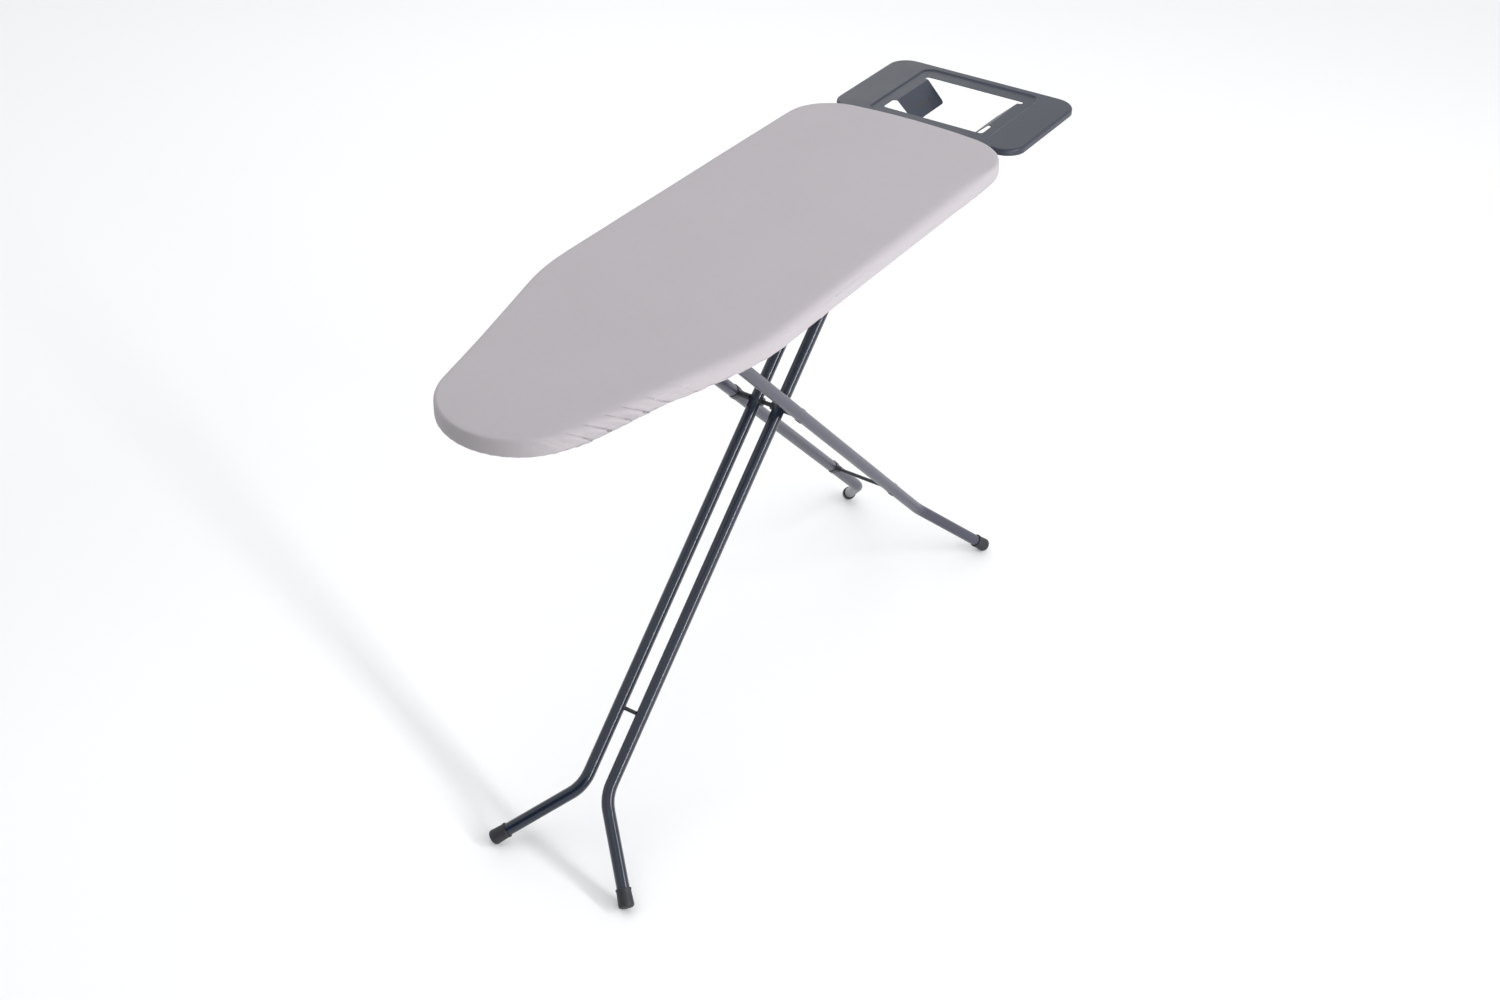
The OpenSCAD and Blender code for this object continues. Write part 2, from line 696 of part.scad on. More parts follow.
module leg_tube(side, gap_y, splay, foot, cross_hole, through) {
    corner = bend_at(splay, foot);
    tangent = bend_r * tan(splay / 2);
    top = arm_l + tube_end;
    difference() {
        union() {
            translate([-top, side * gap_y, 0]) straight_tube(top + corner - tangent + bend_lap);
            translate([corner - tangent, side * (gap_y + bend_r), 0]) tube_bend(side, splay);
            translate([corner, side * gap_y, 0]) rotate([0, 0, side * splay])
                translate([tangent - bend_lap, 0, 0]) straight_tube(foot - tangent - cap_end + bend_lap);
        }
        translate([-arm_l, side * gap_y, 0]) rotate([90, 0, 0]) cylinder(d = bar_d, h = 2 * tube_d, center = true);
        translate([0, side * gap_y, 0]) rotate([side * 90, 0, 0]) translate([0, 0, through ? -tube_d : 0])
            cylinder(d = cross_hole, h = through ? 2 * tube_d : tube_d);
    }
}

cross_bore = cross_d + 2 * run_gap;

module front_tube(side) {
    color(front_paint) front_frame() leg_tube(side, front_y, front_splay, front_foot, cross_bore, true);
}

module rear_tube(side) {
    color(rear_paint) rear_frame() leg_tube(side, rear_y, rear_splay, rear_foot, cross_d, false);
}

module front_tube_near() { front_tube(near); }
module front_tube_far() { front_tube(far); }
module rear_tube_near() { rear_tube(near); }
module rear_tube_far() { rear_tube(far); }

// Rubber cup over the foot's end, cut flat at the floor
module foot_cap(side, gap_y, splay, foot) {
    corner = bend_at(splay, foot);
    translate([corner, side * gap_y, 0]) rotate([0, 0, side * splay]) translate([foot - cap_l, 0, 0])
        rotate([0, 90, 0]) difference() {
            cylinder(r = cap_r, h = cap_l);
            translate([0, 0, -1]) cylinder(r = tube_r, h = cap_l - cap_end + 1);
        }
}

module above_floor() {
    difference() {
        children();
        translate([nose_x - overall_l, -board_w, -60]) cube([3 * overall_l, 2 * board_w, 60]);
    }
}

module front_cap(side) {
    color(black_rubber) above_floor() front_frame() foot_cap(side, front_y, front_splay, front_foot);
}

module rear_cap(side) {
    color(black_rubber) above_floor() rear_frame() foot_cap(side, rear_y, rear_splay, rear_foot);
}

module front_cap_near() { front_cap(near); }
module front_cap_far() { front_cap(far); }
module rear_cap_near() { rear_cap(near); }
module rear_cap_far() { rear_cap(far); }

// ---- Tie rods, washers and saddles, placed by their distance down the leg from the crossing ----

front_tie_at = bend_at(front_splay, front_foot) - front_tie;
rear_tie_at = bend_at(rear_splay, rear_foot) - rear_tie;

// A rod across the board, centred on it
module cross_rod(at, d, half) {
    translate([at, 0, 0]) rotate([90, 0, 0]) cylinder(d = d, h = 2 * half, center = true);
}

// The full round of a leg's tube, for shaping what sits against it
module tube_round(at, side, gap_y) {
    translate([at - tube_d, side * gap_y, 0]) rotate([0, 90, 0]) cylinder(r = tube_r, h = 2 * tube_d);
}

// A thin rod between a pair of tubes, its ends shaped to the tubes
module tie_rod(at, gap_y) {
    difference() {
        cross_rod(at, tie_d, gap_y);
        for (side = [near, far]) tube_round(at, side, gap_y);
    }
}

// A half band on the inner side of each tube of a pair, with a boss that stands out to y_in
// and is bored for its rod
module saddles(at, gap_y, y_in, bore) {
    for (side = [near, far]) difference() {
        union() {
            translate([at - band_l / 2, side * gap_y, 0]) rotate([0, 90, 0]) cylinder(r = tube_r + band_t, h = band_l);
            translate([at, side * gap_y, 0]) rotate([side * 90, 0, 0]) cylinder(d = boss_d, h = gap_y - y_in);
        }
        tube_round(at, side, gap_y);
        cross_rod(at, bore, gap_y);
        translate([at - band_l, side > 0 ? gap_y : -gap_y - tube_d, -tube_d]) cube([2 * band_l, tube_d, 2 * tube_d]);
    }
}

module front_tie_rod() { color(black_steel) front_frame() tie_rod(front_tie_at, front_y); }
module rear_tie_rod() { color(black_steel) rear_frame() tie_rod(rear_tie_at, rear_y); }

module cross_saddles() {
    color(dark_plastic) rear_frame() saddles(0, rear_y, front_y + tube_r + side_gap, cross_d);
}

module rear_tie_saddles() {
    color(dark_plastic) rear_frame() saddles(rear_tie_at, rear_y, rear_y - tube_r - tie_boss, tie_d);
}

// Washers welded to the inner sides of the front tubes
module cross_washers() {
    washer_in = front_y - tube_r - washer_t;
    color(black_steel) front_frame() difference() {
        for (side = [near, far])
            translate([0, side * washer_in, 0]) rotate([-side * 90, 0, 0])
                cylinder(d = washer_d, h = front_y - washer_in);
        for (side = [near, far]) tube_round(0, side, front_y);
        cross_rod(0, cross_bore, front_y);
    }
}

// ---- Axles ----

nut_h = 4;
front_axle_half = ear_in + ear_t + side_gap + nut_h;

module front_axle() {
    color(black_steel) rod_y(top_axle_x, axle_z, bar_d, -front_axle_half, front_axle_half);
}

// A ring on an axle, on both sides of the middle
module ring_pair(x, z, d_in, d_out, y0, y1) {
    for (side = [near, far]) {
        low = side > 0 ? y0 : -y1;
        difference() {
            rod_y(x, z, d_out, low, low + y1 - y0);
            rod_y(x, z, d_in, low - 1, low + y1 - y0 + 1);
        }
    }
}

module front_axle_nuts() {
    color(black_steel) ring_pair(top_axle_x, axle_z, bar_d, bar_d + 6, ear_in + ear_t + side_gap, front_axle_half);
}

// The crossing axle ends inside the rear tubes, a little past their inner walls
axle_past = 2;

module cross_axle() {
    color(black_steel) rear_frame() cross_rod(0, cross_d, rear_y - tube_r + tube_wall + axle_past);
}

module slide_bar() {
    color(black_steel) rod_y(slide_rest_x, axle_z, bar_d, -bar_half, bar_half);
}

// Plastic bush: a flange beside the tube and a neck through the rail's slot
module slide_bush(side) {
    y0 = rear_y + tube_r;
    y1 = y0 + bush_flange;
    y2 = rail_in + rail_t + side_gap;
    color(dark_plastic) difference() {
        union() {
            rod_y(slide_rest_x, axle_z, bush_d + 6, side > 0 ? y0 : -y1, side > 0 ? y1 : -y0);
            rod_y(slide_rest_x, axle_z, bush_d, side > 0 ? y1 : -y2, side > 0 ? y2 : -y1);
        }
        rod_y(slide_rest_x, axle_z, bar_d, -bar_half, bar_half);
    }
}

module slide_bush_near() { slide_bush(near); }
module slide_bush_far() { slide_bush(far); }

module slide_bar_clips() {
    y0 = rail_in + rail_t + side_gap;
    color(black_steel) ring_pair(slide_rest_x, axle_z, bar_d, bush_d + 6, y0, y0 + 1.5);
}

cover();
hem_elastic();
felt_pad();
mesh_panel();
edge_rim();
brace_nose();
brace_mid();
brace_axle();
brace_tail();
slide_rail_near();
slide_rail_far();
rail_rivets();
axle_bracket();
bracket_rivets();
lever_bracket();
lever_pin();
lever_screws();
iron_rest();
rest_arm_near();
rest_arm_far();
rest_rivets();
lever_arm();
latch_comb();
lever_grip();
lever_spring();
front_tube_near();
front_tube_far();
front_axle();
front_axle_nuts();
front_tie_rod();
cross_washers();
front_cap_near();
front_cap_far();
rear_tube_near();
rear_tube_far();
cross_axle();
cross_saddles();
slide_bar();
slide_bush_near();
slide_bush_far();
slide_bar_clips();
rear_tie_rod();
rear_tie_saddles();
rear_cap_near();
rear_cap_far();
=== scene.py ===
# %% [markdown]
# # A folding ironing board
# The real thing is a padded sheet-steel top on two crossed pairs of bent tubes, with a pressed
# steel rest for the iron at its tail. The frame holds every size and joint. This lesson gives each
# piece its look: cloth, felt and expanded steel are built here, and tubes and sheet metal keep
# their engineered shapes and get worked finishes.

# %% Load the frame
import json
import math

import bmesh
import bpy
from mathutils import Matrix, Quaternion, Vector, noise


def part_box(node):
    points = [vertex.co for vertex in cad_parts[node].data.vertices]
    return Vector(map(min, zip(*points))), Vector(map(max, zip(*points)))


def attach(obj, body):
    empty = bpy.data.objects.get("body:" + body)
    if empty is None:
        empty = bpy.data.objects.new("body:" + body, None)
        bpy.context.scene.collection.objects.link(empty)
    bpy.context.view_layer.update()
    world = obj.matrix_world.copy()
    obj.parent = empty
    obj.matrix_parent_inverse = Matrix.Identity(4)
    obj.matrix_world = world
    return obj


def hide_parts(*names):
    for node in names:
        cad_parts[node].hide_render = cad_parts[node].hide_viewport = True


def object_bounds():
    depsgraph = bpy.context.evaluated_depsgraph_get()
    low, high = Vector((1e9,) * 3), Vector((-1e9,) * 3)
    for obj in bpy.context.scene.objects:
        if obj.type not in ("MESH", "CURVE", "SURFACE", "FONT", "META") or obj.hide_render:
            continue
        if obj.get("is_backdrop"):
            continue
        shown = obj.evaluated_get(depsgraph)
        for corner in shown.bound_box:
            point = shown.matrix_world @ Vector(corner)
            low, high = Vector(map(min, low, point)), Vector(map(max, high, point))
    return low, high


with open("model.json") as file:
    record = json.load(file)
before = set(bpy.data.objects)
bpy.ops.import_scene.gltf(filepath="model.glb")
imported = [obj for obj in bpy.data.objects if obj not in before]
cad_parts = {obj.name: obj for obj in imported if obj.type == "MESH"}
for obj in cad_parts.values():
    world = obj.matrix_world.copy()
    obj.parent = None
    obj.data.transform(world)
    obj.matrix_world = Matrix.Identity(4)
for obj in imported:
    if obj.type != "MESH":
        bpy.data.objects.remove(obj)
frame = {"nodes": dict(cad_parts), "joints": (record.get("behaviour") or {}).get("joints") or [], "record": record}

cad_low, cad_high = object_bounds()
nodes = frame["nodes"]
joints = {joint["name"]: joint for joint in frame["joints"]}
print("frame", [round(c, 3) for c in cad_low], [round(c, 3) for c in cad_high], len(nodes), "nodes")

# %% [markdown]
# ## Camera
# A camera is a place and a direction. The direction is kept as the two angles that a person
# would read off a tripod, plus the slight tilt of the head, so each can be changed by itself.

# %% Camera
camera_place = Vector((-2.3802, -1.4544, 2.3766))
camera_azimuth = math.radians(-58.12)
camera_elevation = math.radians(35.08)
camera_roll = math.radians(1.75)

camera_data = bpy.data.cameras.new("camera")
camera_data.sensor_width = 36
camera_data.lens = 46.18
camera = bpy.data.objects.new("camera", camera_data)
bpy.context.scene.collection.objects.link(camera)
back = Vector((
    math.sin(camera_azimuth) * math.cos(camera_elevation),
    -math.cos(camera_azimuth) * math.cos(camera_elevation),
    math.sin(camera_elevation),
))
camera.location = camera_place
camera.rotation_mode = "QUATERNION"
camera.rotation_quaternion = back.to_track_quat("Z", "Y") @ Quaternion((0, 0, 1), camera_roll)
bpy.context.scene.camera = camera
bpy.context.scene.view_settings.view_transform = "Standard"

# %% [markdown]
# ## Studio
# Gloss paint shows the lights more than it shows its colour. A narrow strip light that lies along
# the front legs draws one thin bright line down each front tube, and crosses the rear tubes as a
# broad soft sheen. A pale floor and an even sky keep the shadows faint. A dark card beyond the
# nose gives the tubes something dark to reflect and shades the band round the nose; the camera
# itself doesn't see it.

# %% Floor, sky and lights
bpy.ops.object.select_all(action="DESELECT")
bpy.ops.mesh.primitive_plane_add(size=24, location=(0, 0, -0.0005))
floor = bpy.context.object
floor.name = "floor"
floor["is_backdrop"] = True

sky = bpy.data.worlds.new("sky")
bpy.context.scene.world = sky
sky.use_nodes = True
sky.node_tree.nodes["Background"].inputs["Color"].default_value = (0.97, 0.98, 1.0, 1)
sky.node_tree.nodes["Background"].inputs["Strength"].default_value = 0.93


def area_light(name, place, target, length, width, power, along=(1, 0, 0)):
    """A rectangular light at a place, facing a target, its length turned to lie along a direction."""
    light = bpy.data.lights.new(name, "AREA")
    light.shape = "RECTANGLE"
    light.size, light.size_y = length, width
    light.energy = power
    holder = bpy.data.objects.new(name, light)
    bpy.context.scene.collection.objects.link(holder)
    z_axis = (Vector(place) - Vector(target)).normalized()
    x_axis = (Vector(along) - z_axis * Vector(along).dot(z_axis)).normalized()
    y_axis = z_axis.cross(x_axis)
    turn = Matrix((x_axis, y_axis, z_axis)).transposed().to_4x4()
    holder.matrix_world = Matrix.Translation(place) @ turn
    return holder


bpy.ops.object.select_all(action="DESELECT")
bpy.ops.mesh.primitive_plane_add(size=1, location=(-3.6, -0.5, 1.35), rotation=(0, math.pi / 2, 0))
dark_card = bpy.context.object
dark_card.name = "dark_card"
dark_card.scale = (2.1, 5.0, 1)
dark_card.visible_camera = False
dark_card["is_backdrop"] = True

axle = Vector(joints["front_fold"]["pos_m"])
crossing = Vector(joints["rear_fold"]["pos_m"])
front_leg = (crossing - axle).normalized()
rear_leg = Vector((-front_leg.x, 0, front_leg.z))
area_light("strip", (-0.3, -3.3, 1.55), (0, 0, 0.5), 5.0, 0.24, 120, along=front_leg)
area_light("top_panel", (-0.6, 0.4, 3.6), (0, 0, 0.7), 3.0, 2.4, 17)
area_light("fill", (2.8, 2.2, 2.0), (0, 0, 0.6), 2.2, 1.6, 8, along=(0, 1, 0))

# %% [markdown]
# ## Working by hand, in code
# A modelling tool acts on whatever is selected. These few helpers do what the hand does between
# two tools: pick one piece, enter it, mark some of its faces or edges, and leave it tidy.


# %% Helpers for modelling
def pick(piece):
    """Leaves one piece selected and active, in object mode."""
    if bpy.context.object and bpy.context.object.mode != "OBJECT":
        bpy.ops.object.mode_set(mode="OBJECT")
    bpy.ops.object.select_all(action="DESELECT")
    piece.select_set(True)
    bpy.context.view_layer.objects.active = piece


def enter(piece, kind="FACE", selection="DESELECT"):
    """Opens a piece for editing with nothing in it selected, or with all of it."""
    pick(piece)
    bpy.ops.object.mode_set(mode="EDIT")
    bpy.ops.mesh.select_mode(type=kind)
    bpy.ops.mesh.select_all(action=selection)


def leave():
    bpy.ops.object.mode_set(mode="OBJECT")


def push_up(height):
    """Extrudes the selected faces of the open piece straight up."""
    bpy.ops.mesh.extrude_region_move(TRANSFORM_OT_translate={"value": (0, 0, height)})


def mark(kind, test):
    """Selects the vertices, edges or faces of the open piece that pass a test; returns how many."""
    mesh = bmesh.from_edit_mesh(bpy.context.object.data)
    parts = {"VERT": mesh.verts, "EDGE": mesh.edges, "FACE": mesh.faces}[kind]
    bpy.ops.mesh.select_all(action="DESELECT")
    found = 0
    for part in parts:
        if test(part):
            part.select_set(True)
            found += 1
    bmesh.update_edit_mesh(bpy.context.object.data)
    return found


def middle(edge):
    return (edge.verts[0].co + edge.verts[1].co) / 2


def settle_place(piece):
    """Moves a piece's place, turn and size into its mesh, so that its object sits at the origin."""
    pick(piece)
    bpy.ops.object.transform_apply(location=True, rotation=True, scale=True)


def apply_all(piece):
    pick(piece)
    for modifier in list(piece.modifiers):
        bpy.ops.object.modifier_apply(modifier=modifier.name)


def face_outwards(piece):
    enter(piece, "VERT", "SELECT")
    bpy.ops.mesh.remove_doubles(threshold=1e-6)
    bpy.ops.mesh.normals_make_consistent(inside=False)
    leave()


def smooth(piece, degrees=35):
    pick(piece)
    bpy.ops.object.shade_smooth_by_angle(angle=math.radians(degrees))


def even_out(piece):
    """Lets large flat faces keep their own shading beside small rounded ones."""
    pick(piece)
    shading = piece.modifiers.new("even shading", "WEIGHTED_NORMAL")
    shading.keep_sharp = True
    shading.weight = 80
    bpy.ops.object.modifier_apply(modifier=shading.name)


def join(name, parts):
    """Joins parts into the first one and gives it a name."""
    pick(parts[0])
    for part in parts[1:]:
        part.select_set(True)
    if len(parts) > 1:
        bpy.ops.object.join()
    parts[0].name = name
    parts[0].data.name = name
    return parts[0]


def place_along(piece, origin, direction):
    """Stands a piece that was made along +Z at an origin, pointing in a direction."""
    turn = Vector(direction).to_track_quat("Z", "Y").to_matrix().to_4x4()
    piece.matrix_world = Matrix.Translation(origin) @ turn
    settle_place(piece)


# %% [markdown]
# ## Shader groups
# Four effects come back in many finishes: a fine grain, woven threads, rubbed high spots and
# the spangle of zinc. Each is one node group with named inputs, placed in a material with that
# material's own numbers. The groups only give colours, roughness and heights; the surface
# shader stays in each material.

# %% Helpers for shader nodes
def new_group(name, inputs, outputs):
    group = bpy.data.node_groups.new(name, "ShaderNodeTree")
    for label, kind, value in inputs:
        socket = group.interface.new_socket(name=label, in_out="INPUT", socket_type=kind)
        if value is not None:
            socket.default_value = value
    for label, kind in outputs:
        group.interface.new_socket(name=label, in_out="OUTPUT", socket_type=kind)
    return group, group.nodes.new("NodeGroupInput"), group.nodes.new("NodeGroupOutput")


def add(tree, kind, **settings):
    """A node with its options and its inputs' values set by name; a socket as value makes a link."""
    node = tree.nodes.new(kind)
    values = settings.pop("values", {})
    for key, value in settings.items():
        setattr(node, key, value)
    for key, value in values.items():
        if isinstance(value, bpy.types.NodeSocket):
            tree.links.new(value, node.inputs[key])
        else:
            node.inputs[key].default_value = value
    return node


def combine(tree, a, b, operation="ADD"):
    """The result of one sum, with a number or a socket on each side."""
    node = tree.nodes.new("ShaderNodeMath")
    node.operation = operation
    for slot_number, value in enumerate((a, b)):
        if isinstance(value, bpy.types.NodeSocket):
            tree.links.new(value, node.inputs[slot_number])
        else:
            node.inputs[slot_number].default_value = value
    return node.outputs[0]


# %% Fine grain: a little uneven colour and gloss, with a fine rise and fall
FLOAT, COLOR, VECTOR = "NodeSocketFloat", "NodeSocketColor", "NodeSocketVector"
grain_group, start, end = new_group(
    "fine grain",
    [("Vector", VECTOR, None), ("Color", COLOR, None), ("Grains per metre", FLOAT, 900.0),
     ("Patches per metre", FLOAT, 9.0), ("Color spread", FLOAT, 0.1), ("Roughness", FLOAT, 0.4),
     ("Roughness spread", FLOAT, 0.1)],
    [("Color", COLOR), ("Roughness", FLOAT), ("Height", FLOAT)],
)
fine = add(grain_group, "ShaderNodeTexNoise", values={
    "Vector": start.outputs["Vector"], "Scale": start.outputs["Grains per metre"], "Detail": 2.0})
patches = add(grain_group, "ShaderNodeTexNoise", values={
    "Vector": start.outputs["Vector"], "Scale": start.outputs["Patches per metre"], "Detail": 4.0})
centred = combine(grain_group, patches.outputs["Fac"], 0.5, "SUBTRACT")
uneven = combine(grain_group, centred, start.outputs["Color spread"], "MULTIPLY")
lightness = combine(grain_group, uneven, 1.0)
toned = add(grain_group, "ShaderNodeVectorMath", operation="SCALE", values={
    "Vector": start.outputs["Color"], "Scale": lightness})
rougher = combine(grain_group, centred, start.outputs["Roughness spread"], "MULTIPLY")
grain_group.links.new(toned.outputs["Vector"], end.inputs["Color"])
grain_group.links.new(combine(grain_group, rougher, start.outputs["Roughness"]), end.inputs["Roughness"])
grain_group.links.new(fine.outputs["Fac"], end.inputs["Height"])

# %% Woven threads: two crossing sets of waves, and a third for cloth that hangs upright
weave_group, start, end = new_group(
    "woven threads",
    [("Vector", VECTOR, None), ("Threads per metre", FLOAT, 1500.0)],
    [("Height", FLOAT), ("Slub", FLOAT)],
)
waves = []
for direction in ("X", "Y", "Z"):
    wave = add(weave_group, "ShaderNodeTexWave", wave_type="BANDS", bands_direction=direction, values={
        "Vector": start.outputs["Vector"], "Distortion": 0.6, "Detail": 1.0,
        "Scale": combine(weave_group, start.outputs["Threads per metre"], 1 / 6.283, "MULTIPLY")})
    waves.append(wave.outputs["Fac"])
flat_weave = combine(weave_group, waves[0], waves[1], "MULTIPLY")
upright_weave = combine(weave_group, waves[2], 0.35, "MULTIPLY")
weave_group.links.new(combine(weave_group, flat_weave, upright_weave), end.inputs["Height"])
stretched = add(weave_group, "ShaderNodeMapping", values={
    "Vector": start.outputs["Vector"], "Scale": (1.0, 9.0, 9.0)})
slub = add(weave_group, "ShaderNodeTexNoise", values={
    "Vector": stretched.outputs["Vector"], "Scale": 60.0, "Detail": 3.0})
weave_group.links.new(slub.outputs["Fac"], end.inputs["Slub"])

# %% Rubbed spots: a sparse mask of small scuffs
rub_group, start, end = new_group(
    "rubbed spots",
    [("Vector", VECTOR, None), ("Spots per metre", FLOAT, 40.0), ("Share", FLOAT, 0.1)],
    [("Mask", FLOAT)],
)
spots = add(rub_group, "ShaderNodeTexNoise", values={
    "Vector": start.outputs["Vector"], "Scale": start.outputs["Spots per metre"], "Detail": 6.0,
    "Roughness": 0.7})
lowered = combine(rub_group, start.outputs["Share"], 0.3, "MULTIPLY")
low_edge = combine(rub_group, 0.72, lowered, "SUBTRACT")
cut = add(rub_group, "ShaderNodeMapRange", interpolation_type="SMOOTHSTEP", values={
    "Value": spots.outputs["Fac"], "From Min": low_edge,
    "From Max": combine(rub_group, low_edge, 0.08)})
rub_group.links.new(cut.outputs["Result"], end.inputs["Mask"])

# %% Zinc spangle: flat crystals that each turn the light a little differently
spangle_group, start, end = new_group(
    "zinc spangle",
    [("Vector", VECTOR, None), ("Color", COLOR, None), ("Crystals per metre", FLOAT, 140.0),
     ("Contrast", FLOAT, 0.25), ("Roughness", FLOAT, 0.38)],
    [("Color", COLOR), ("Roughness", FLOAT)],
)
crystals = add(spangle_group, "ShaderNodeTexVoronoi", values={
    "Vector": start.outputs["Vector"], "Scale": start.outputs["Crystals per metre"]})
tone = add(spangle_group, "ShaderNodeSeparateColor", values={"Color": crystals.outputs["Color"]})
centred = combine(spangle_group, tone.outputs["Red"], 0.5, "SUBTRACT")
shift = combine(spangle_group, centred, start.outputs["Contrast"], "MULTIPLY")
toned = add(spangle_group, "ShaderNodeVectorMath", operation="SCALE", values={
    "Vector": start.outputs["Color"], "Scale": combine(spangle_group, shift, 1.0)})
spangle_group.links.new(toned.outputs["Vector"], end.inputs["Color"])
shifted = combine(spangle_group, shift, start.outputs["Roughness"])
spangle_group.links.new(shifted, end.inputs["Roughness"])


# %% Helpers that place the groups in a material
# A mix node holds a pair of sockets for each kind of value. These are the numbers of the colours'.
mix_below, mix_above, mix_result = 6, 7, 2


def new_material(name):
    """A material with its surface shader and the piece's own coordinates ready to use."""
    material = bpy.data.materials.new(name)
    material.use_nodes = True
    tree = material.node_tree
    shader = tree.nodes["Principled BSDF"]
    place = tree.nodes.new("ShaderNodeTexCoord").outputs["Object"]
    return material, tree, shader, place


def use_group(tree, group, values):
    node = add(tree, "ShaderNodeGroup", node_tree=group)
    for key, value in values.items():
        if isinstance(value, bpy.types.NodeSocket):
            tree.links.new(value, node.inputs[key])
        else:
            node.inputs[key].default_value = value
    return node


def mix_colors(tree, mask, below, above):
    """The colour below, with the colour above it where the mask is 1."""
    node = add(tree, "ShaderNodeMix", data_type="RGBA", values={
        "Factor": mask, mix_below: below, mix_above: above})
    return node.outputs[mix_result]


def skin(tree, shader, color, roughness):
    tree.links.new(color, shader.inputs["Base Color"])
    tree.links.new(roughness, shader.inputs["Roughness"])


def bump(tree, shader, height, distance, strength=1.0, below=None):
    node = add(tree, "ShaderNodeBump", values={
        "Height": height, "Distance": distance, "Strength": strength})
    if below is not None:
        tree.links.new(below.outputs["Normal"], node.inputs["Normal"])
    tree.links.new(node.outputs["Normal"], shader.inputs["Normal"])
    return node


# %% [markdown]
# ## Finishes
# Powder coat is a thin melted plastic skin: it flows into a faint orange-peel surface, stays
# glossy, and shows a pale rub where metal has touched it. One function makes every painted part,
# each with its own colour and gloss. The rear tubes wear the front tubes' paint, made lighter here
# as painted sheen for the light they catch.

# %% Painted steel
def painted(name, color, roughness, coat, specular=0.5, peel=0.00006, scuffs=0.08):
    material, tree, shader, place = new_material(name)
    grain = use_group(tree, grain_group, {
        "Vector": place, "Color": (*color, 1), "Grains per metre": 420.0, "Patches per metre": 14.0,
        "Color spread": 0.22, "Roughness": roughness, "Roughness spread": 0.16})
    rub = use_group(tree, rub_group, {"Vector": place, "Spots per metre": 55.0, "Share": scuffs})
    rubbed_color = (*[0.55 * c + 0.06 for c in color], 1)
    worn = mix_colors(tree, rub.outputs["Mask"], grain.outputs["Color"], rubbed_color)
    skin(tree, shader, worn, grain.outputs["Roughness"])
    shader.inputs["Specular IOR Level"].default_value = specular
    shader.inputs["Coat Weight"].default_value = coat
    shader.inputs["Coat Roughness"].default_value = 0.06
    bump(tree, shader, grain.outputs["Height"], peel, 0.6)
    return material


front_paint = painted("front_paint", (0.009, 0.015, 0.030), 0.20, 0.4, 0.35)
# The rear tubes have the same paint as the front ones; this lighter, greyer colour is painted sheen, the sky light
# that their slant catches.
rear_paint = painted("rear_paint", (0.044, 0.046, 0.068), 0.36, 0.15, 0.4)
rest_paint = painted("rest_paint", (0.026, 0.031, 0.046), 0.42, 0.06, 0.34)
black_steel = painted("black_steel", (0.010, 0.011, 0.017), 0.32, 0.3)

# %% [markdown]
# Bare sheet under the board is dipped or plated in zinc. Dipped sheet shows crystals as wide as
# a fingertip; plated fittings are too small for that and only look slightly cloudy.

# %% Zinc
def zinc_coat(name, color, crystals_per_metre, contrast, roughness):
    material, tree, shader, place = new_material(name)
    spangle = use_group(tree, spangle_group, {
        "Vector": place, "Color": (*color, 1), "Crystals per metre": crystals_per_metre,
        "Contrast": contrast, "Roughness": roughness})
    grain = use_group(tree, grain_group, {
        "Vector": place, "Color": spangle.outputs["Color"], "Patches per metre": 20.0,
        "Color spread": 0.3, "Roughness": spangle.outputs["Roughness"], "Roughness spread": 0.15})
    skin(tree, shader, grain.outputs["Color"], grain.outputs["Roughness"])
    shader.inputs["Metallic"].default_value = 0.85
    bump(tree, shader, grain.outputs["Height"], 0.00004, 0.5)
    return material


galvanised = zinc_coat("galvanised", (0.50, 0.51, 0.53), 120.0, 0.3, 0.42)
plated = zinc_coat("plated", (0.60, 0.61, 0.62), 600.0, 0.12, 0.34)

# %% [markdown]
# Moulded rubber and plastic take the fine spark-eroded texture of their mould. Rubber is darker,
# duller and picks up grey dust; plastic keeps a low sheen.

# %% Rubber and plastic
def moulded(name, color, roughness, texture, dust):
    material, tree, shader, place = new_material(name)
    grain = use_group(tree, grain_group, {
        "Vector": place, "Color": (*color, 1), "Grains per metre": 1600.0, "Patches per metre": 35.0,
        "Color spread": 0.35, "Roughness": roughness, "Roughness spread": 0.12})
    rub = use_group(tree, rub_group, {"Vector": place, "Spots per metre": 90.0, "Share": dust})
    dust_color = (0.09, 0.088, 0.085, 1)
    dusty = mix_colors(tree, rub.outputs["Mask"], grain.outputs["Color"], dust_color)
    skin(tree, shader, dusty, grain.outputs["Roughness"])
    bump(tree, shader, grain.outputs["Height"], texture, 0.8)
    return material


rubber = moulded("rubber", (0.014, 0.014, 0.019), 0.55, 0.00012, 0.22)
plastic = moulded("plastic", (0.022, 0.023, 0.030), 0.42, 0.00008, 0.06)

# %% [markdown]
# Cotton is matt, with a faint sheen from loose fibres at a low angle. Its threads are half a
# millimetre wide, so from a distance only uneven patches and the odd thick thread show, and close
# up the weave itself does. Felt has no threads: it is a tangle, so it gets a coarse noise.

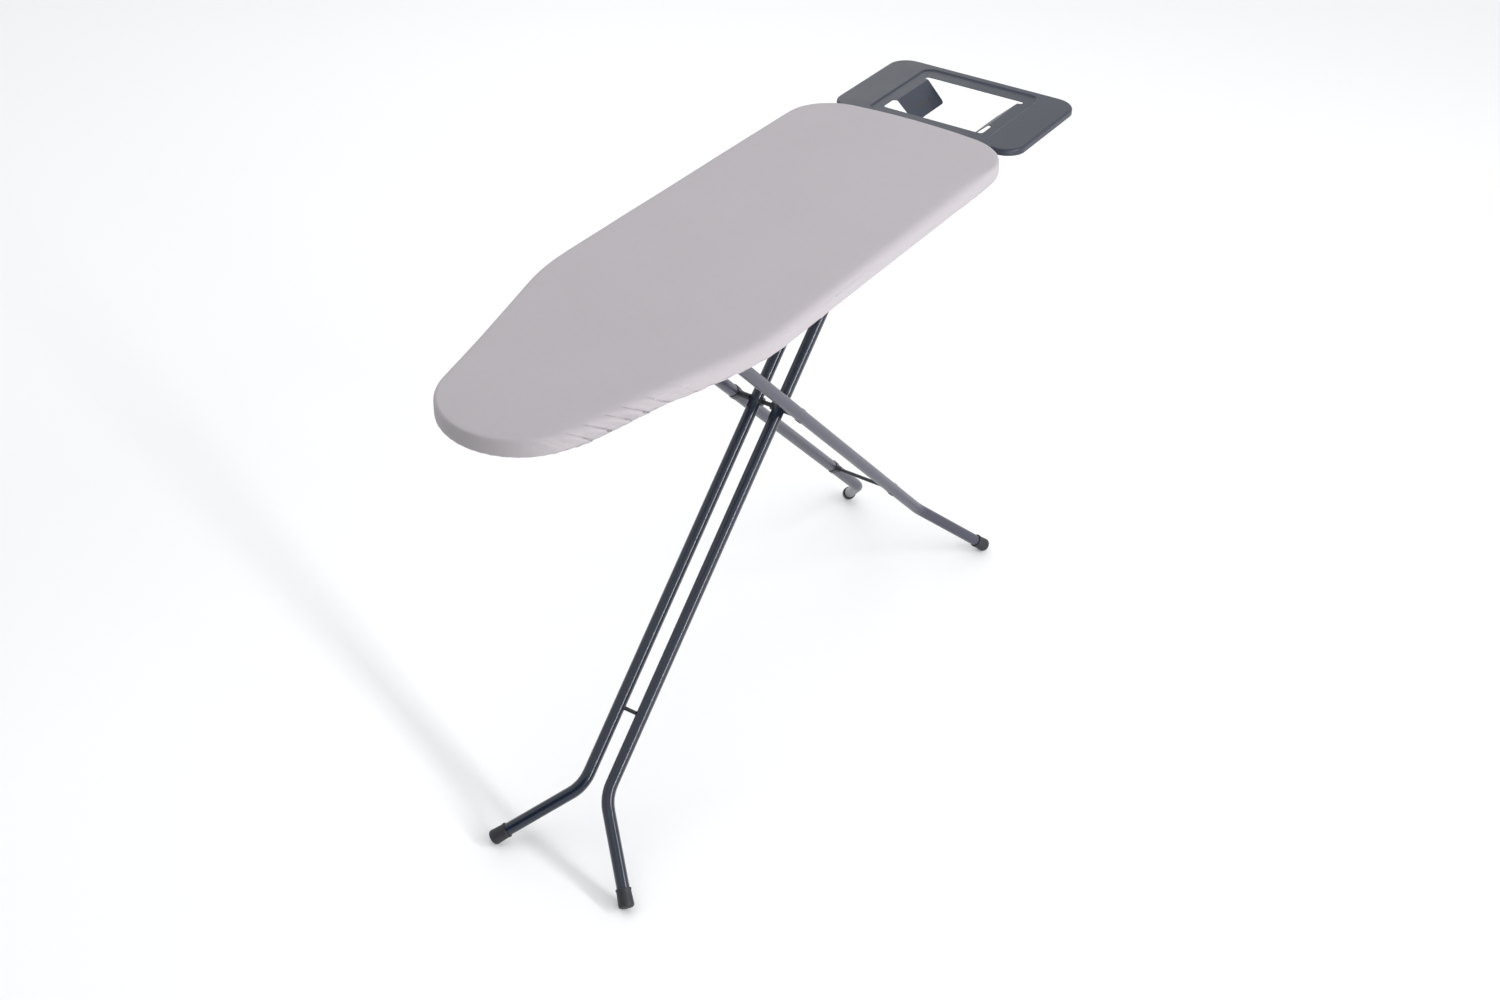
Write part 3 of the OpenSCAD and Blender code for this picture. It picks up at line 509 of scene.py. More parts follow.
# %% Cotton, felt and elastic
def woven(name, color, threads_per_metre, depth, sheen, spread=0.07):
    material, tree, shader, place = new_material(name)
    threads = use_group(tree, weave_group, {"Vector": place, "Threads per metre": threads_per_metre})
    grain = use_group(tree, grain_group, {
        "Vector": place, "Color": (*color, 1), "Grains per metre": 700.0, "Patches per metre": 6.0,
        "Color spread": spread, "Roughness": 0.88, "Roughness spread": 0.08})
    slubs = add(tree, "ShaderNodeMapRange", values={
        "Value": threads.outputs["Slub"], "To Min": 0.965, "To Max": 1.03})
    toned = add(tree, "ShaderNodeVectorMath", operation="SCALE", values={
        "Vector": grain.outputs["Color"], "Scale": slubs.outputs["Result"]})
    skin(tree, shader, toned.outputs["Vector"], grain.outputs["Roughness"])
    shader.inputs["Specular IOR Level"].default_value = 0.25
    shader.inputs["Sheen Weight"].default_value = sheen
    shader.inputs["Sheen Roughness"].default_value = 0.5
    soft = bump(tree, shader, grain.outputs["Height"], 0.0001, 0.5)
    bump(tree, shader, threads.outputs["Height"], depth, 0.7, below=soft)
    return material


cotton = woven("cotton", (0.375, 0.350, 0.368), 1700.0, 0.00010, 0.12)
felt_cloth = woven("felt_cloth", (0.66, 0.63, 0.56), 350.0, 0.00025, 0.2, 0.2)
elastic_cloth = woven("elastic_cloth", (0.78, 0.78, 0.75), 2600.0, 0.0002, 0.1)

# %% Studio surfaces, and which finish each slot gets
def matt(name, grey, **grain_values):
    """A plain matt grey; the grain's values are given with _ for each space in their names."""
    material, tree, shader, place = new_material(name)
    values = {label.replace("_", " "): value for label, value in grain_values.items()}
    grain = use_group(tree, grain_group, {"Vector": place, "Color": (grey, grey, grey, 1), **values})
    skin(tree, shader, grain.outputs["Color"], grain.outputs["Roughness"])
    return material


def dress(piece, material):
    piece.data.materials.clear()
    piece.data.materials.append(material)


dress(floor, matt("floor_paint", 0.90, Patches_per_metre=0.6, Color_spread=0.02, Roughness=0.8,
                  Roughness_spread=0.05))
dress(dark_card, matt("card_black", 0.02, Roughness=0.9))
slot_finish = {
    "cover_cotton": cotton, "felt": felt_cloth, "elastic": elastic_cloth, "steel_mesh": galvanised,
    "zinc": plated, "front_paint": front_paint, "rear_paint": rear_paint, "rest_paint": rest_paint,
    "black_steel": black_steel, "rubber": rubber, "plastic": plastic,
}
for part in frame["record"]["subparts"]:
    dress(nodes[part["node"]], slot_finish[part["material_slot"]])
print("finishes", len(bpy.data.materials))

# %% [markdown]
# ## The board's outline
# Cover, pad and steel panel all share one outline. It is read from the frame: the cover's top
# corners, walked once round. They are then spread evenly, closer together round the nose, where
# the cloth will need to pucker.

# %% Outline of the board
fine_spacing = 0.0026
plain_spacing = 0.0075
fine_reach = 0.46


def walk_round(node):
    mesh = nodes[node].data
    top = max(v.co.z for v in mesh.vertices)
    corners = {(round(v.co.x, 5), round(v.co.y, 5)) for v in mesh.vertices if top - v.co.z < 1e-4}
    centre_x = (min(c[0] for c in corners) + max(c[0] for c in corners)) / 2
    return [Vector(c) for c in sorted(corners, key=lambda c: math.atan2(c[1], c[0] - centre_x))]


def spread_evenly(corners):
    """Points round a closed outline, beginning at the nose, nearer together close to it."""
    nose = min(range(len(corners)), key=lambda i: corners[i].x)
    ring = corners[nose:] + corners[:nose + 1]
    half = ring[:len(ring) // 2 + 1]
    lengths = [0.0]
    for a, b in zip(half, half[1:]):
        lengths.append(lengths[-1] + (b - a).length)
    places = [0.0]
    while places[-1] < lengths[-1] - plain_spacing:
        places.append(places[-1] + (fine_spacing if places[-1] < fine_reach else plain_spacing))
    places[-1] = lengths[-1]
    points = []
    k = 0
    for s in places:
        while k < len(lengths) - 2 and lengths[k + 1] < s:
            k += 1
        share = (s - lengths[k]) / (lengths[k + 1] - lengths[k])
        points.append(half[k].lerp(half[k + 1], share))
    mirrored = [Vector((p.x, -p.y)) for p in points[-2:0:-1]]
    arc = places + [2 * lengths[-1] - s for s in places[-2:0:-1]]
    return points + mirrored, arc, lengths[-1] * 2


outline, arc_at, outline_length = spread_evenly(walk_round("cover"))
count = len(outline)
outward = []
for i in range(count):
    along = (outline[(i + 1) % count] - outline[i - 1]).normalized()
    outward.append(Vector((along.y, -along.x)))
quarter = count // 4
if abs((outline[quarter] + outward[quarter] * 0.01).y) < abs(outline[quarter].y):
    outward = [-n for n in outward]
nose_x, tail_x = outline[0].x, max(p.x for p in outline)
bend = [(outward[(i + 3) % count] - outward[i - 3]).length for i in range(count)]
curved = [min(1.0, b / 0.12) for b in bend]
print("outline", count, "points,", round(outline_length, 3), "m round")


def inset_point(i, inset):
    return outline[i] - outward[i] * inset


def loft(name, rings, closed_profile=False, cap_first=None):
    """A mesh from rings of points round the outline; cap_first closes the first one to a spine."""
    mesh = bmesh.new()
    made = [[mesh.verts.new(p) for p in ring] for ring in rings]
    pairs = list(zip(made, made[1:]))
    if closed_profile:
        pairs.append((made[-1], made[0]))
    for upper, lower in pairs:
        for i in range(count):
            j = (i + 1) % count
            mesh.faces.new((upper[i], upper[j], lower[j], lower[i]))
    if cap_first is not None:
        previous = made[0]
        for ring in cap_first:
            current = [mesh.verts.new(p) for p in ring]
            for i in range(count):
                j = (i + 1) % count
                mesh.faces.new((previous[j], previous[i], current[i], current[j]))
            previous = current
    bmesh.ops.remove_doubles(mesh, verts=mesh.verts, dist=2e-5)
    bmesh.ops.recalc_face_normals(mesh, faces=mesh.faces)
    data = bpy.data.meshes.new(name)
    mesh.to_mesh(data)
    mesh.free()
    piece = bpy.data.objects.new(name, data)
    bpy.context.scene.collection.objects.link(piece)
    return piece


spine_x0, spine_x1 = nose_x + 0.135, tail_x - 0.150


def towards_spine(i, inset, share, z):
    """A point on the flat top, a share of the way from the inset outline to the middle line."""
    p = inset_point(i, inset)
    spine = Vector((min(max(outline[i].x, spine_x0), spine_x1), 0))
    q = p.lerp(spine, share)
    return Vector((q.x, q.y, z))


# %% [markdown]
# ## Cotton cover
# The cover is one cut of cotton pulled over the pad. An elastic cord in its hem gathers it under
# the rim, so there is spare cloth wherever the outline curves: it shows as puckers underneath
# and as a few slanting pleats on the side of the nose. The sheet is lofted from a profile, given
# the start of each fold, and then settled by a cloth simulation in which the curved stretches
# have a little more cloth than room.

# %% Profile of the cover, from the flat top, over the edge, down the side and round the hem
crisp_profile = [
    (0.0300, 0.0000), (0.0220, 0.0000), (0.0150, 0.0000), (0.0095, 0.0000), (0.0062, 0.0001),
    (0.0040, 0.0003), (0.0025, 0.0008), (0.0014, 0.0017), (0.0007, 0.0032), (0.0004, 0.0055),
    (0.0003, 0.0090), (0.0002, 0.0130), (0.0002, 0.0170), (0.0002, 0.0210), (0.0004, 0.0243),
    (0.0012, 0.0268), (0.0032, 0.0279), (0.0064, 0.0280), (0.0100, 0.0281), (0.0140, 0.0281),
    (0.0180, 0.0281), (0.0214, 0.0280), (0.0240, 0.0275), (0.0257, 0.0264), (0.0259, 0.0250),
    (0.0248, 0.0241), (0.0232, 0.0239)]
soft_profile = [
    (0.0340, 0.0000), (0.0270, 0.0000), (0.0205, 0.0001), (0.0160, 0.0004), (0.0122, 0.0010),
    (0.0090, 0.0019), (0.0064, 0.0032), (0.0042, 0.0050), (0.0024, 0.0074), (0.0012, 0.0102),
    (0.0006, 0.0130), (0.0003, 0.0158), (0.0002, 0.0186), (0.0002, 0.0214), (0.0004, 0.0243),
    *crisp_profile[15:]]


def finer(profile, first, last):
    """The profile with a point added halfway between its neighbours from first to last."""
    made = []
    for k, here in enumerate(profile):
        made.append(here)
        if first <= k < last:
            after = profile[k + 1]
            made.append(((here[0] + after[0]) / 2, (here[1] + after[1]) / 2))
    return made


crisp_profile, soft_profile = finer(crisp_profile, 6, 15), finer(soft_profile, 6, 15)
cover_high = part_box("cover")[1].z
cloth_t = 0.0006
profile_run = [0.0]
for (a0, b0), (a1, b1) in zip(soft_profile, soft_profile[1:]):
    profile_run.append(profile_run[-1] + math.hypot(a1 - a0, b1 - b0))


def near_side(i):
    return outline[i].y < -0.002


def blend_in(value, low, high):
    t = min(1.0, max(0.0, (value - low) / (high - low)))
    return t * t * (3 - 2 * t)


def nose_distance(i):
    """Distance along the edge from the tip of the nose."""
    return min(arc_at[i], outline_length - arc_at[i])


# %% [markdown]
# ## Felt pad
# Under the cloth lies a sheet of needled felt, nearly nine millimetres thick. Cut felt is not
# sharp: its top edge slumps into a round, most of all where the cover pulls it down. It is lofted
# from the outline as a closed pillow that stays just inside the cover.

# %% Felt pad
pad_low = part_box("felt_pad")[0]
pad_under_cover = 0.0019
pad_inset = 0.0042
pad_base = pad_low.z + 0.0003
pad_drop = cover_high - pad_low.z - 0.0003 - pad_under_cover
least_soft = 0.12
nose_ease = 0.0042


def softness(i):
    """Near 0 where the cover's edge is crisp, 1 where it is rounded."""
    if outline[i].y > 0:
        return least_soft
    near_tail = blend_in(outline[i].x, tail_x - 0.20, tail_x - 0.06)
    return least_soft + (1 - least_soft) * blend_in(nose_distance(i), 0.07, 0.16) * (1 - near_tail)


def ease(i, run):
    """Room between cloth and board at the blunt nose, where the cover is never quite tight."""
    return nose_ease * (1 - blend_in(nose_distance(i), 0.08, 0.30)) * blend_in(run, 0.0, 0.026)


def profile_at(i, ring):
    """How far in from the outline, and how far below the top, a ring of the cover runs here."""
    soft = softness(i)
    (a0, b0), (a1, b1) = crisp_profile[ring], soft_profile[ring]
    return a0 + (a1 - a0) * soft, b0 + (b1 - b0) * soft


def felt_point(i, ring):
    inset, drop = profile_at(i, ring)
    p = inset_point(i, inset + pad_inset - 0.7 * ease(i, profile_run[ring]))
    rough = 0.00025 * noise.noise(Vector((p.x, p.y, drop)) * 160)
    return Vector((p.x, p.y, cover_high - pad_under_cover - min(drop, pad_drop) + rough))


def flat_rings(inset, z, shares=(0.33, 0.66, 1)):
    """Rings that close the top or the bottom of the pad."""
    return [[towards_spine(i, inset, share, z) for i in range(count)] for share in shares]


side_rings = 14
pad_rings = [[felt_point(i, ring) for i in range(count)] for ring in range(side_rings)]
pad_rings.append([Vector((*inset_point(i, 0.0040), pad_base)) for i in range(count)])
pad_crown = flat_rings(0.037, cover_high - pad_under_cover)
pad_floor = flat_rings(0.010, pad_base)
felt = loft("felt", pad_rings + pad_floor, cap_first=pad_crown)
smooth(felt, 60)
dress(felt, felt_cloth)
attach(felt, "board")
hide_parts("felt_pad")
print("felt", len(felt.data.polygons), "faces")

# %% Folds that the simulation starts from
pleat_places = [0.128, 0.166, 0.199, 0.236, 0.266, 0.306, 0.356]
pleat_depths = [0.0012, 0.0036, 0.0048, 0.0044, 0.0048, 0.0026, 0.0016]
pleat_slant = 1.85
pleat_width = 0.0150
pucker_turns = [0.0]
for i in range(1, count):
    step = abs(arc_at[i] - arc_at[i - 1])
    wander = 1 + 0.35 * noise.noise(Vector((arc_at[i] * 9, 3.1, 0)))
    pucker_turns.append(pucker_turns[-1] + step / (0.0165 * wander))


def pleats(i, run):
    """How far a slanting pleat lifts the side of the nose, a distance run down the profile."""
    if not near_side(i):
        return 0.0
    s = nose_distance(i)
    lift = 0.0
    for place, depth in zip(pleat_places, pleat_depths):
        across = (s - place - pleat_slant * (run - 0.046)) / pleat_width
        back_slope = blend_in(across, -1.5, 0.0) * (1 - blend_in(across, 0.0, 0.22))
        crease = 0.42 * math.exp(-((across - 0.27) / 0.15) ** 2)
        lift += depth * (back_slope - crease)
    return lift * blend_in(run, 0.022, 0.036) * (1 - blend_in(run, 0.060, 0.068))


def puckers(i, run):
    """Radial gathers that deepen towards the elastic."""
    strength = 0.00030 + 0.00125 * curved[i]
    wave = 0.5 + 0.5 * math.sin(2 * math.pi * pucker_turns[i])
    fine_wave = 0.5 + 0.5 * math.sin(2 * math.pi * pucker_turns[i] * 2.3 + 1)
    return strength * (0.75 * wave + 0.25 * fine_wave) * blend_in(run, 0.046, 0.068)


scallop_length = 0.105
cloth_top = cover_high - cloth_t * 0.2


def flat_rise(p):
    """The slow rise and fall of the cloth on the flat top."""
    return 0.00022 * noise.noise(Vector((p.x * 14, p.y * 14, 0.4)))


def cover_point(i, ring):
    s = nose_distance(i)
    inset, drop = profile_at(i, ring)
    run = profile_run[ring]
    lift = pleats(i, run)
    sag = 0.0008 * noise.noise(Vector((outline[i].x * 7, outline[i].y * 7, run * 30)))
    sag *= blend_in(run, 0.006, 0.03)
    scallop = 0.0010 * math.sin(2 * math.pi * (s - 0.24) / scallop_length)
    scallop = scallop * blend_in(s, 0.2, 0.3) * (1 - blend_in(s, 0.7, 0.9))
    scallop *= blend_in(drop, 0.014, 0.027) if near_side(i) else 0.0
    p = inset_point(i, inset - lift * 0.8 - sag - ease(i, run))
    z = cloth_top - drop + flat_rise(p) + lift * 0.4 - scallop - puckers(i, run)
    return Vector((p.x, p.y, z))


rings = [[cover_point(i, ring) for i in range(count)] for ring in range(len(soft_profile))]


def crown_point(i, share):
    p = towards_spine(i, 0.034, share, cover_high)
    p.z = cloth_top + flat_rise(p)
    return p


crown_shares = (0.12, 0.26, 0.42, 0.58, 0.74, 0.88, 1)
crown = [[crown_point(i, share) for i in range(count)] for share in crown_shares]
cloth_cover = loft("cloth_cover", rings, cap_first=crown)
print("cover", len(cloth_cover.data.vertices), "points before settling")

# %% [markdown]
# The simulation holds the flat top and the elastic hem, and leaves the side free. Where cloth is
# spare, its rest size is larger than the room it has, so it buckles on its own. A cap keeps any
# point from moving further than real cloth could, and what would go into the pad is taken back.

# %% Settle the cover as cloth
hold_above = cover_high - 0.0006
hem_above = cover_high - 0.0262
max_move = 0.0045
frames_to_settle = 14
cotton_cloth = {
    "quality": 5, "mass": 0.2, "tension_stiffness": 12, "compression_stiffness": 12,
    "shear_stiffness": 4, "bending_stiffness": 0.35, "shrink_min": 0.0, "shrink_max": -0.045,
}


def settle(piece):
    start_points = [v.co.copy() for v in piece.data.vertices]
    outwards = [v.normal.copy() for v in piece.data.vertices]
    pin = piece.vertex_groups.new(name="held")
    slack = piece.vertex_groups.new(name="spare cloth")
    for v in piece.data.vertices:
        inside = v.co.z > hold_above
        side = v.co.z > hem_above
        pin.add([v.index], 1.0 if inside else 0.03 if side else 0.45, "REPLACE")
        from_nose = v.co.x - nose_x
        near = 1.0 if v.co.y < 0 else 0.35
        curve = 1 - blend_in(from_nose, 0.36, 0.62)
        tail = blend_in(from_nose, 1.10, 1.22) * 0.5
        spare = min(1.0, 0.12 + near * curve * blend_in(from_nose, 0.05, 0.14) + tail)
        slack.add([v.index], 0.0 if inside else spare, "REPLACE")
    pick(piece)
    cloth = piece.modifiers.new("settle", "CLOTH")
    for setting, value in cotton_cloth.items():
        setattr(cloth.settings, setting, value)
    cloth.settings.vertex_group_mass = pin.name
    cloth.settings.vertex_group_shrink = slack.name
    cloth.settings.effector_weights.gravity = 0.15
    cloth.collision_settings.use_collision = False
    cloth.collision_settings.use_self_collision = False
    for frame_number in range(1, frames_to_settle + 1):
        bpy.context.scene.frame_set(frame_number)
    bpy.ops.object.modifier_apply(modifier=cloth.name)
    moved = 0.0
    for v, begin in zip(piece.data.vertices, start_points):
        move = v.co - begin
        if move.length > max_move:
            move *= max_move / move.length
        into_pad = min(0.0, move.dot(outwards[v.index]))
        move -= outwards[v.index] * into_pad
        v.co = begin + move
        moved = max(moved, move.length)
    piece.vertex_groups.clear()
    bpy.context.scene.frame_set(1)
    return moved


print("cover settled, furthest move", round(settle(cloth_cover) * 1000, 1), "mm")

# %% [markdown]
# Two flat steel arms pass under the hem at the tail and press it up. The cloth above them is
# lifted clear, then the sheet gets its half millimetre of thickness.

# %% Hem over the support arms, thickness
arm_boxes = [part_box(arm) for arm in ("rest_arm_near", "rest_arm_far")]
lifted_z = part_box("cover")[0].z + 0.0008
lift_reach = 0.006
for v in cloth_cover.data.vertices:
    for arm_low, arm_high in arm_boxes:
        beside = max(arm_low.y - v.co.y, v.co.y - arm_high.y, arm_low.x - v.co.x, 0)
        if beside < lift_reach and v.co.z < lifted_z:
            v.co.z += (lifted_z - v.co.z) * (1 - beside / lift_reach)
pick(cloth_cover)
thick = cloth_cover.modifiers.new("thickness", "SOLIDIFY")
thick.thickness = cloth_t
thick.offset = -1
apply_all(cloth_cover)
smooth(cloth_cover, 80)
dress(cloth_cover, cotton)
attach(cloth_cover, "board")
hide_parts("cover")
turned_under = 0.060
corner_pairs = zip(outline, outline[1:] + outline[:1])
cut_area = abs(sum(a.x * b.y - a.y * b.x for a, b in corner_pairs)) / 2
cut_area += outline_length * turned_under + math.pi * turned_under ** 2

# %% [markdown]
# ## Elastic cord
# The cord lies inside the turned hem. It is a thin tube that follows the outline, set in from it.

# %% Elastic cord
elastic_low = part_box("hem_elastic")[0]
cord_inset = 0.0243
cord_r = 0.0009
cord_sides = 8


def cord_ring(k):
    angle = 2 * math.pi * k / cord_sides
    ring = []
    for i in range(count):
        p = inset_point(i, cord_inset - cord_r * math.cos(angle))
        ring.append(Vector((p.x, p.y, elastic_low.z + cord_r + cord_r * math.sin(angle))))
    return ring


elastic = loft("elastic", [cord_ring(k) for k in range(cord_sides)], closed_profile=True)
smooth(elastic, 80)
dress(elastic, elastic_cloth)
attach(elastic, "board")
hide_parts("hem_elastic")
print("elastic", len(elastic.data.polygons), "faces")

# %% [markdown]
# ## Expanded steel panel
# Ironing steams. The panel under the pad is sheet steel that was slit and pulled open, so steam
# and water pass. It starts as a square grid turned on its corner and squeezed, the outline trims
# it, and every grid line becomes a strand. A plain margin stays solid where the rim grips it.

# %% Expanded panel: a grid of diamonds
panel_low, panel_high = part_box("mesh_panel")
panel_t = panel_high.z - panel_low.z
panel_middle = panel_high.z - panel_t / 2
diamond_length, diamond_width = 0.034, 0.015
strand_width = 0.0022
margin = 0.016
side = diamond_length / math.sqrt(2)
steps = 2 * math.ceil((tail_x - nose_x) / diamond_length * 0.78)
centre_x = (nose_x + tail_x) / 2
bpy.ops.object.select_all(action="DESELECT")
bpy.ops.mesh.primitive_grid_add(x_subdivisions=steps, y_subdivisions=steps, size=steps * side)
diamonds = bpy.context.object
enter(diamonds, "FACE", "SELECT")
bpy.ops.transform.rotate(value=math.radians(45), orient_axis="Z", center_override=(0, 0, 0))
bpy.ops.transform.resize(value=(1, diamond_width / diamond_length, 1), center_override=(0, 0, 0))
bpy.ops.transform.translate(value=(centre_x, 0, panel_middle))
limits = [inset_point(i, margin) for i in range(count)]


def inside_limits(x, y):
    crossings = 0
    for a, b in zip(limits, limits[1:] + limits[:1]):
        if (a.y > y) != (b.y > y) and x < a.x + (y - a.y) / (b.y - a.y) * (b.x - a.x):
            crossings += 1
    return crossings % 2 == 1


def past_margin(face):
    centre = face.calc_center_median()
    on_board = abs(centre.y) < half_width and nose_x < centre.x < tail_x
    return not (on_board and inside_limits(centre.x, centre.y))


half_width = max(p.y for p in outline)
mark("FACE", past_margin)
bpy.ops.mesh.delete(type="FACE")
leave()
pick(diamonds)
strands = diamonds.modifiers.new("strands", "WIREFRAME")
strands.thickness = strand_width
strands.use_even_offset = False
strands.use_relative_offset = False
apply_all(diamonds)
enter(diamonds, "FACE", "SELECT")
bpy.ops.transform.resize(value=(1, 1, panel_t / strand_width), center_override=(0, 0, panel_middle))
leave()
print("diamonds", len(diamonds.data.polygons), "faces")

# %% Expanded panel: the solid margin
panel_edge_low = panel_low.z + 0.0001
margin_end = margin + 0.010


def panel_ring(inset, z):
    return [Vector((*inset_point(i, inset), z)) for i in range(count)]


panel_inset = panel_low.x - nose_x
band = loft("panel_band", [
    panel_ring(panel_inset, panel_high.z), panel_ring(margin_end, panel_high.z),
    panel_ring(margin_end, panel_edge_low), panel_ring(panel_inset, panel_edge_low)],
    closed_profile=True)
panel = join("steel_panel", [band, diamonds])
dress(panel, galvanised)
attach(panel, "board")
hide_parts("mesh_panel")
print("panel", len(panel.data.polygons), "faces")

# %% [markdown]
# ## Iron rest
# The rest is one pressed sheet: a border with a turned-down edge, a step down to a field, an
# opening, and two tongues that stay joined at a fold and bend down under the opening. The real
# press draws the steps and then punches the holes, and this follows the same order. Outlines are
# planes with bevelled corners; bridging two outlines makes the metal between them.

# %% Rest: outlines
rest_low, rest_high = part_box("iron_rest")
rest_t = 0.0012
rest_middle = (rest_low.x + rest_high.x) / 2
step_depth = 0.0025
field_z = rest_high.z - step_depth
rest_corner = 0.038
edge_depth = 0.012
edge_roll = 0.0042
step_roll = 0.0009
step_slope = 0.0025
field = {"x0": 0.514, "x1": 0.742, "half": 0.118, "corner": 0.019}
opening_x0, opening_x1, opening_half = 0.540, 0.711, 0.095
tongue_x = 0.640
tongue_root, tongue_tip, tongue_length = 0.118, 0.112, 0.054
tongue_angle = math.radians(43)
tongue_corner = 0.007


def rounded_outline(name, x0, x1, half, radius, z, segments=8):
    """A flat plate with round corners, lying at height z."""
    bpy.ops.object.select_all(action="DESELECT")
    bpy.ops.mesh.primitive_plane_add(size=1, location=((x0 + x1) / 2, 0, z))
    piece = bpy.context.object
    piece.name = name
    piece.scale = (x1 - x0, 2 * half, 1)
    settle_place(piece)
    enter(piece, "VERT", "SELECT")
    bpy.ops.mesh.bevel(offset=radius, offset_type="OFFSET", segments=segments, affect="VERTICES")
    leave()
    return piece


def only_edges(piece):
    enter(piece, "FACE", "SELECT")
    bpy.ops.mesh.delete(type="ONLY_FACE")
    leave()


rest_outer = rounded_outline("rest", rest_low.x, rest_high.x, rest_high.y, rest_corner, rest_high.z)
shoulder = rounded_outline("shoulder", field["x0"] - step_slope, field["x1"] + step_slope,
                           field["half"] + step_slope, field["corner"] + step_slope, rest_high.z)
foot = rounded_outline("foot", field["x0"], field["x1"], field["half"], field["corner"], field_z)
hole = rounded_outline("hole", opening_x0, opening_x1, opening_half, 0.004, field_z, segments=2)

# %% Rest: the root of each tongue is marked on the opening's edge, then all outlines become wire
enter(hole, "FACE")
for offset in (-tongue_root / 2, tongue_root / 2):
    bpy.ops.mesh.select_all(action="SELECT")
    bpy.ops.mesh.bisect(plane_co=(tongue_x + offset, 0, 0), plane_no=(1, 0, 0))
leave()
for piece in (rest_outer, shoulder, foot, hole):
    only_edges(piece)
enter(hole, "EDGE")
mark("EDGE", lambda e: abs(middle(e).y) < 1e-4
     and opening_x0 + 0.001 < middle(e).x < opening_x1 - 0.001)
bpy.ops.mesh.delete(type="EDGE")
leave()

# %% Rest: bridge the border and the step, fill the field round the opening
rest = join("iron_rest_sheet", [rest_outer, shoulder])
enter(rest, "EDGE", "SELECT")
bpy.ops.mesh.bridge_edge_loops()
leave()
rest = join("iron_rest_sheet", [rest, foot])
enter(rest, "EDGE")


def within_step(e):
    return abs(middle(e).x - rest_middle) < 0.120 and abs(middle(e).y) < 0.125


mark("EDGE", lambda e: len(e.link_faces) < 2 and within_step(e))
bpy.ops.mesh.bridge_edge_loops()
leave()
rest = join("iron_rest_sheet", [rest, hole])
enter(rest, "EDGE")
mark("EDGE", lambda e: len(e.link_faces) < 2 and within_step(e))
bpy.ops.mesh.fill(use_beauty=True)
leave()
print("rest, top surface", len(rest.data.polygons), "faces")

# %% Rest: turn the edge down and round it
enter(rest, "EDGE")
mark("EDGE", lambda e: len(e.link_faces) < 2 and not within_step(e))
bpy.ops.mesh.extrude_edges_move(TRANSFORM_OT_translate={"value": (0, 0, -edge_depth)})
mark("EDGE", lambda e: abs(middle(e).z - rest_high.z) < 1e-5 and len(e.link_faces) == 2
     and min(f.normal.z ** 2 for f in e.link_faces) < 0.1)
bpy.ops.mesh.bevel(offset=edge_roll, segments=5, affect="EDGES")
mark("EDGE", lambda e: len(e.link_faces) == 2 and within_step(e)
     and 0.1 < e.link_faces[0].normal.angle(e.link_faces[1].normal, 0) < 1.4)
bpy.ops.mesh.bevel(offset=step_roll, segments=2, affect="EDGES")
leave()

# %% Rest: bend the tongues out of the opening's edges, a few degrees at a time
bend_steps = 4
bend_length = 0.0035


def bend_tongue(side_of_board):
    fold_y = side_of_board * opening_half
    enter(rest, "EDGE")
    mark("EDGE", lambda e: len(e.link_faces) == 1 and abs(middle(e).y - fold_y) < 1e-4
         and abs(middle(e).x - tongue_x) < 1e-3)
    run, half = 0.0, tongue_root / 2
    lengths = [bend_length / bend_steps] * bend_steps + [tongue_length - bend_length]
    for k, length in enumerate(lengths):
        angle = tongue_angle * min(1.0, (k + 0.5) / bend_steps if k < bend_steps else 1.0)
        move = (0, -side_of_board * length * math.cos(angle), -length * math.sin(angle))
        bpy.ops.mesh.extrude_edges_move(TRANSFORM_OT_translate={"value": move})
        run += length
        new_half = tongue_root / 2 - (tongue_root - tongue_tip) / 2 * run / tongue_length
        bpy.ops.transform.resize(value=(new_half / half, 1, 1), center_override=(tongue_x, 0, 0))
        half = new_half
    bpy.ops.mesh.bevel(offset=tongue_corner, segments=5, affect="VERTICES")
    leave()


for side_of_board in (-1, 1):
    bend_tongue(side_of_board)

# %% Rest: thickness of the sheet
face_outwards(rest)
on_top = [p for p in rest.data.polygons if abs(p.center.z - rest_high.z) < 0.0005]
if max(on_top, key=lambda p: p.area).normal.z < 0:
    enter(rest, "FACE", "SELECT")
    bpy.ops.mesh.flip_normals()
    leave()
pick(rest)
wall = rest.modifiers.new("wall", "SOLIDIFY")
wall.thickness = rest_t
wall.offset = -1
wall.use_even_offset = True
apply_all(rest)


# %% Rest: punches for the recesses, the relief notches and the support arms
def punch(x0, x1, half, radius, depth):
    """A round-ended block, centred on y = 0 and standing on both sides of z = 0."""
    block = rounded_outline("punch", x0, x1, half, radius, -depth / 2, segments=8)
    enter(block, "FACE", "SELECT")
    push_up(depth)
    leave()
    face_outwards(block)
    return block


def strike(sheet, block):
    """Cuts the block's shape out of the sheet and throws the block away."""
    pick(sheet)
    cut_out = sheet.modifiers.new("cut", "BOOLEAN")
    cut_out.operation = "DIFFERENCE"
    cut_out.solver = "EXACT"
    cut_out.object = block
    bpy.ops.object.modifier_apply(modifier=cut_out.name)
    bpy.data.objects.remove(block)


def strike_at(sheet, block, place):
    """Moves the block to a place and strikes the sheet with it."""
    block.location = place
    settle_place(block)
    strike(sheet, block)


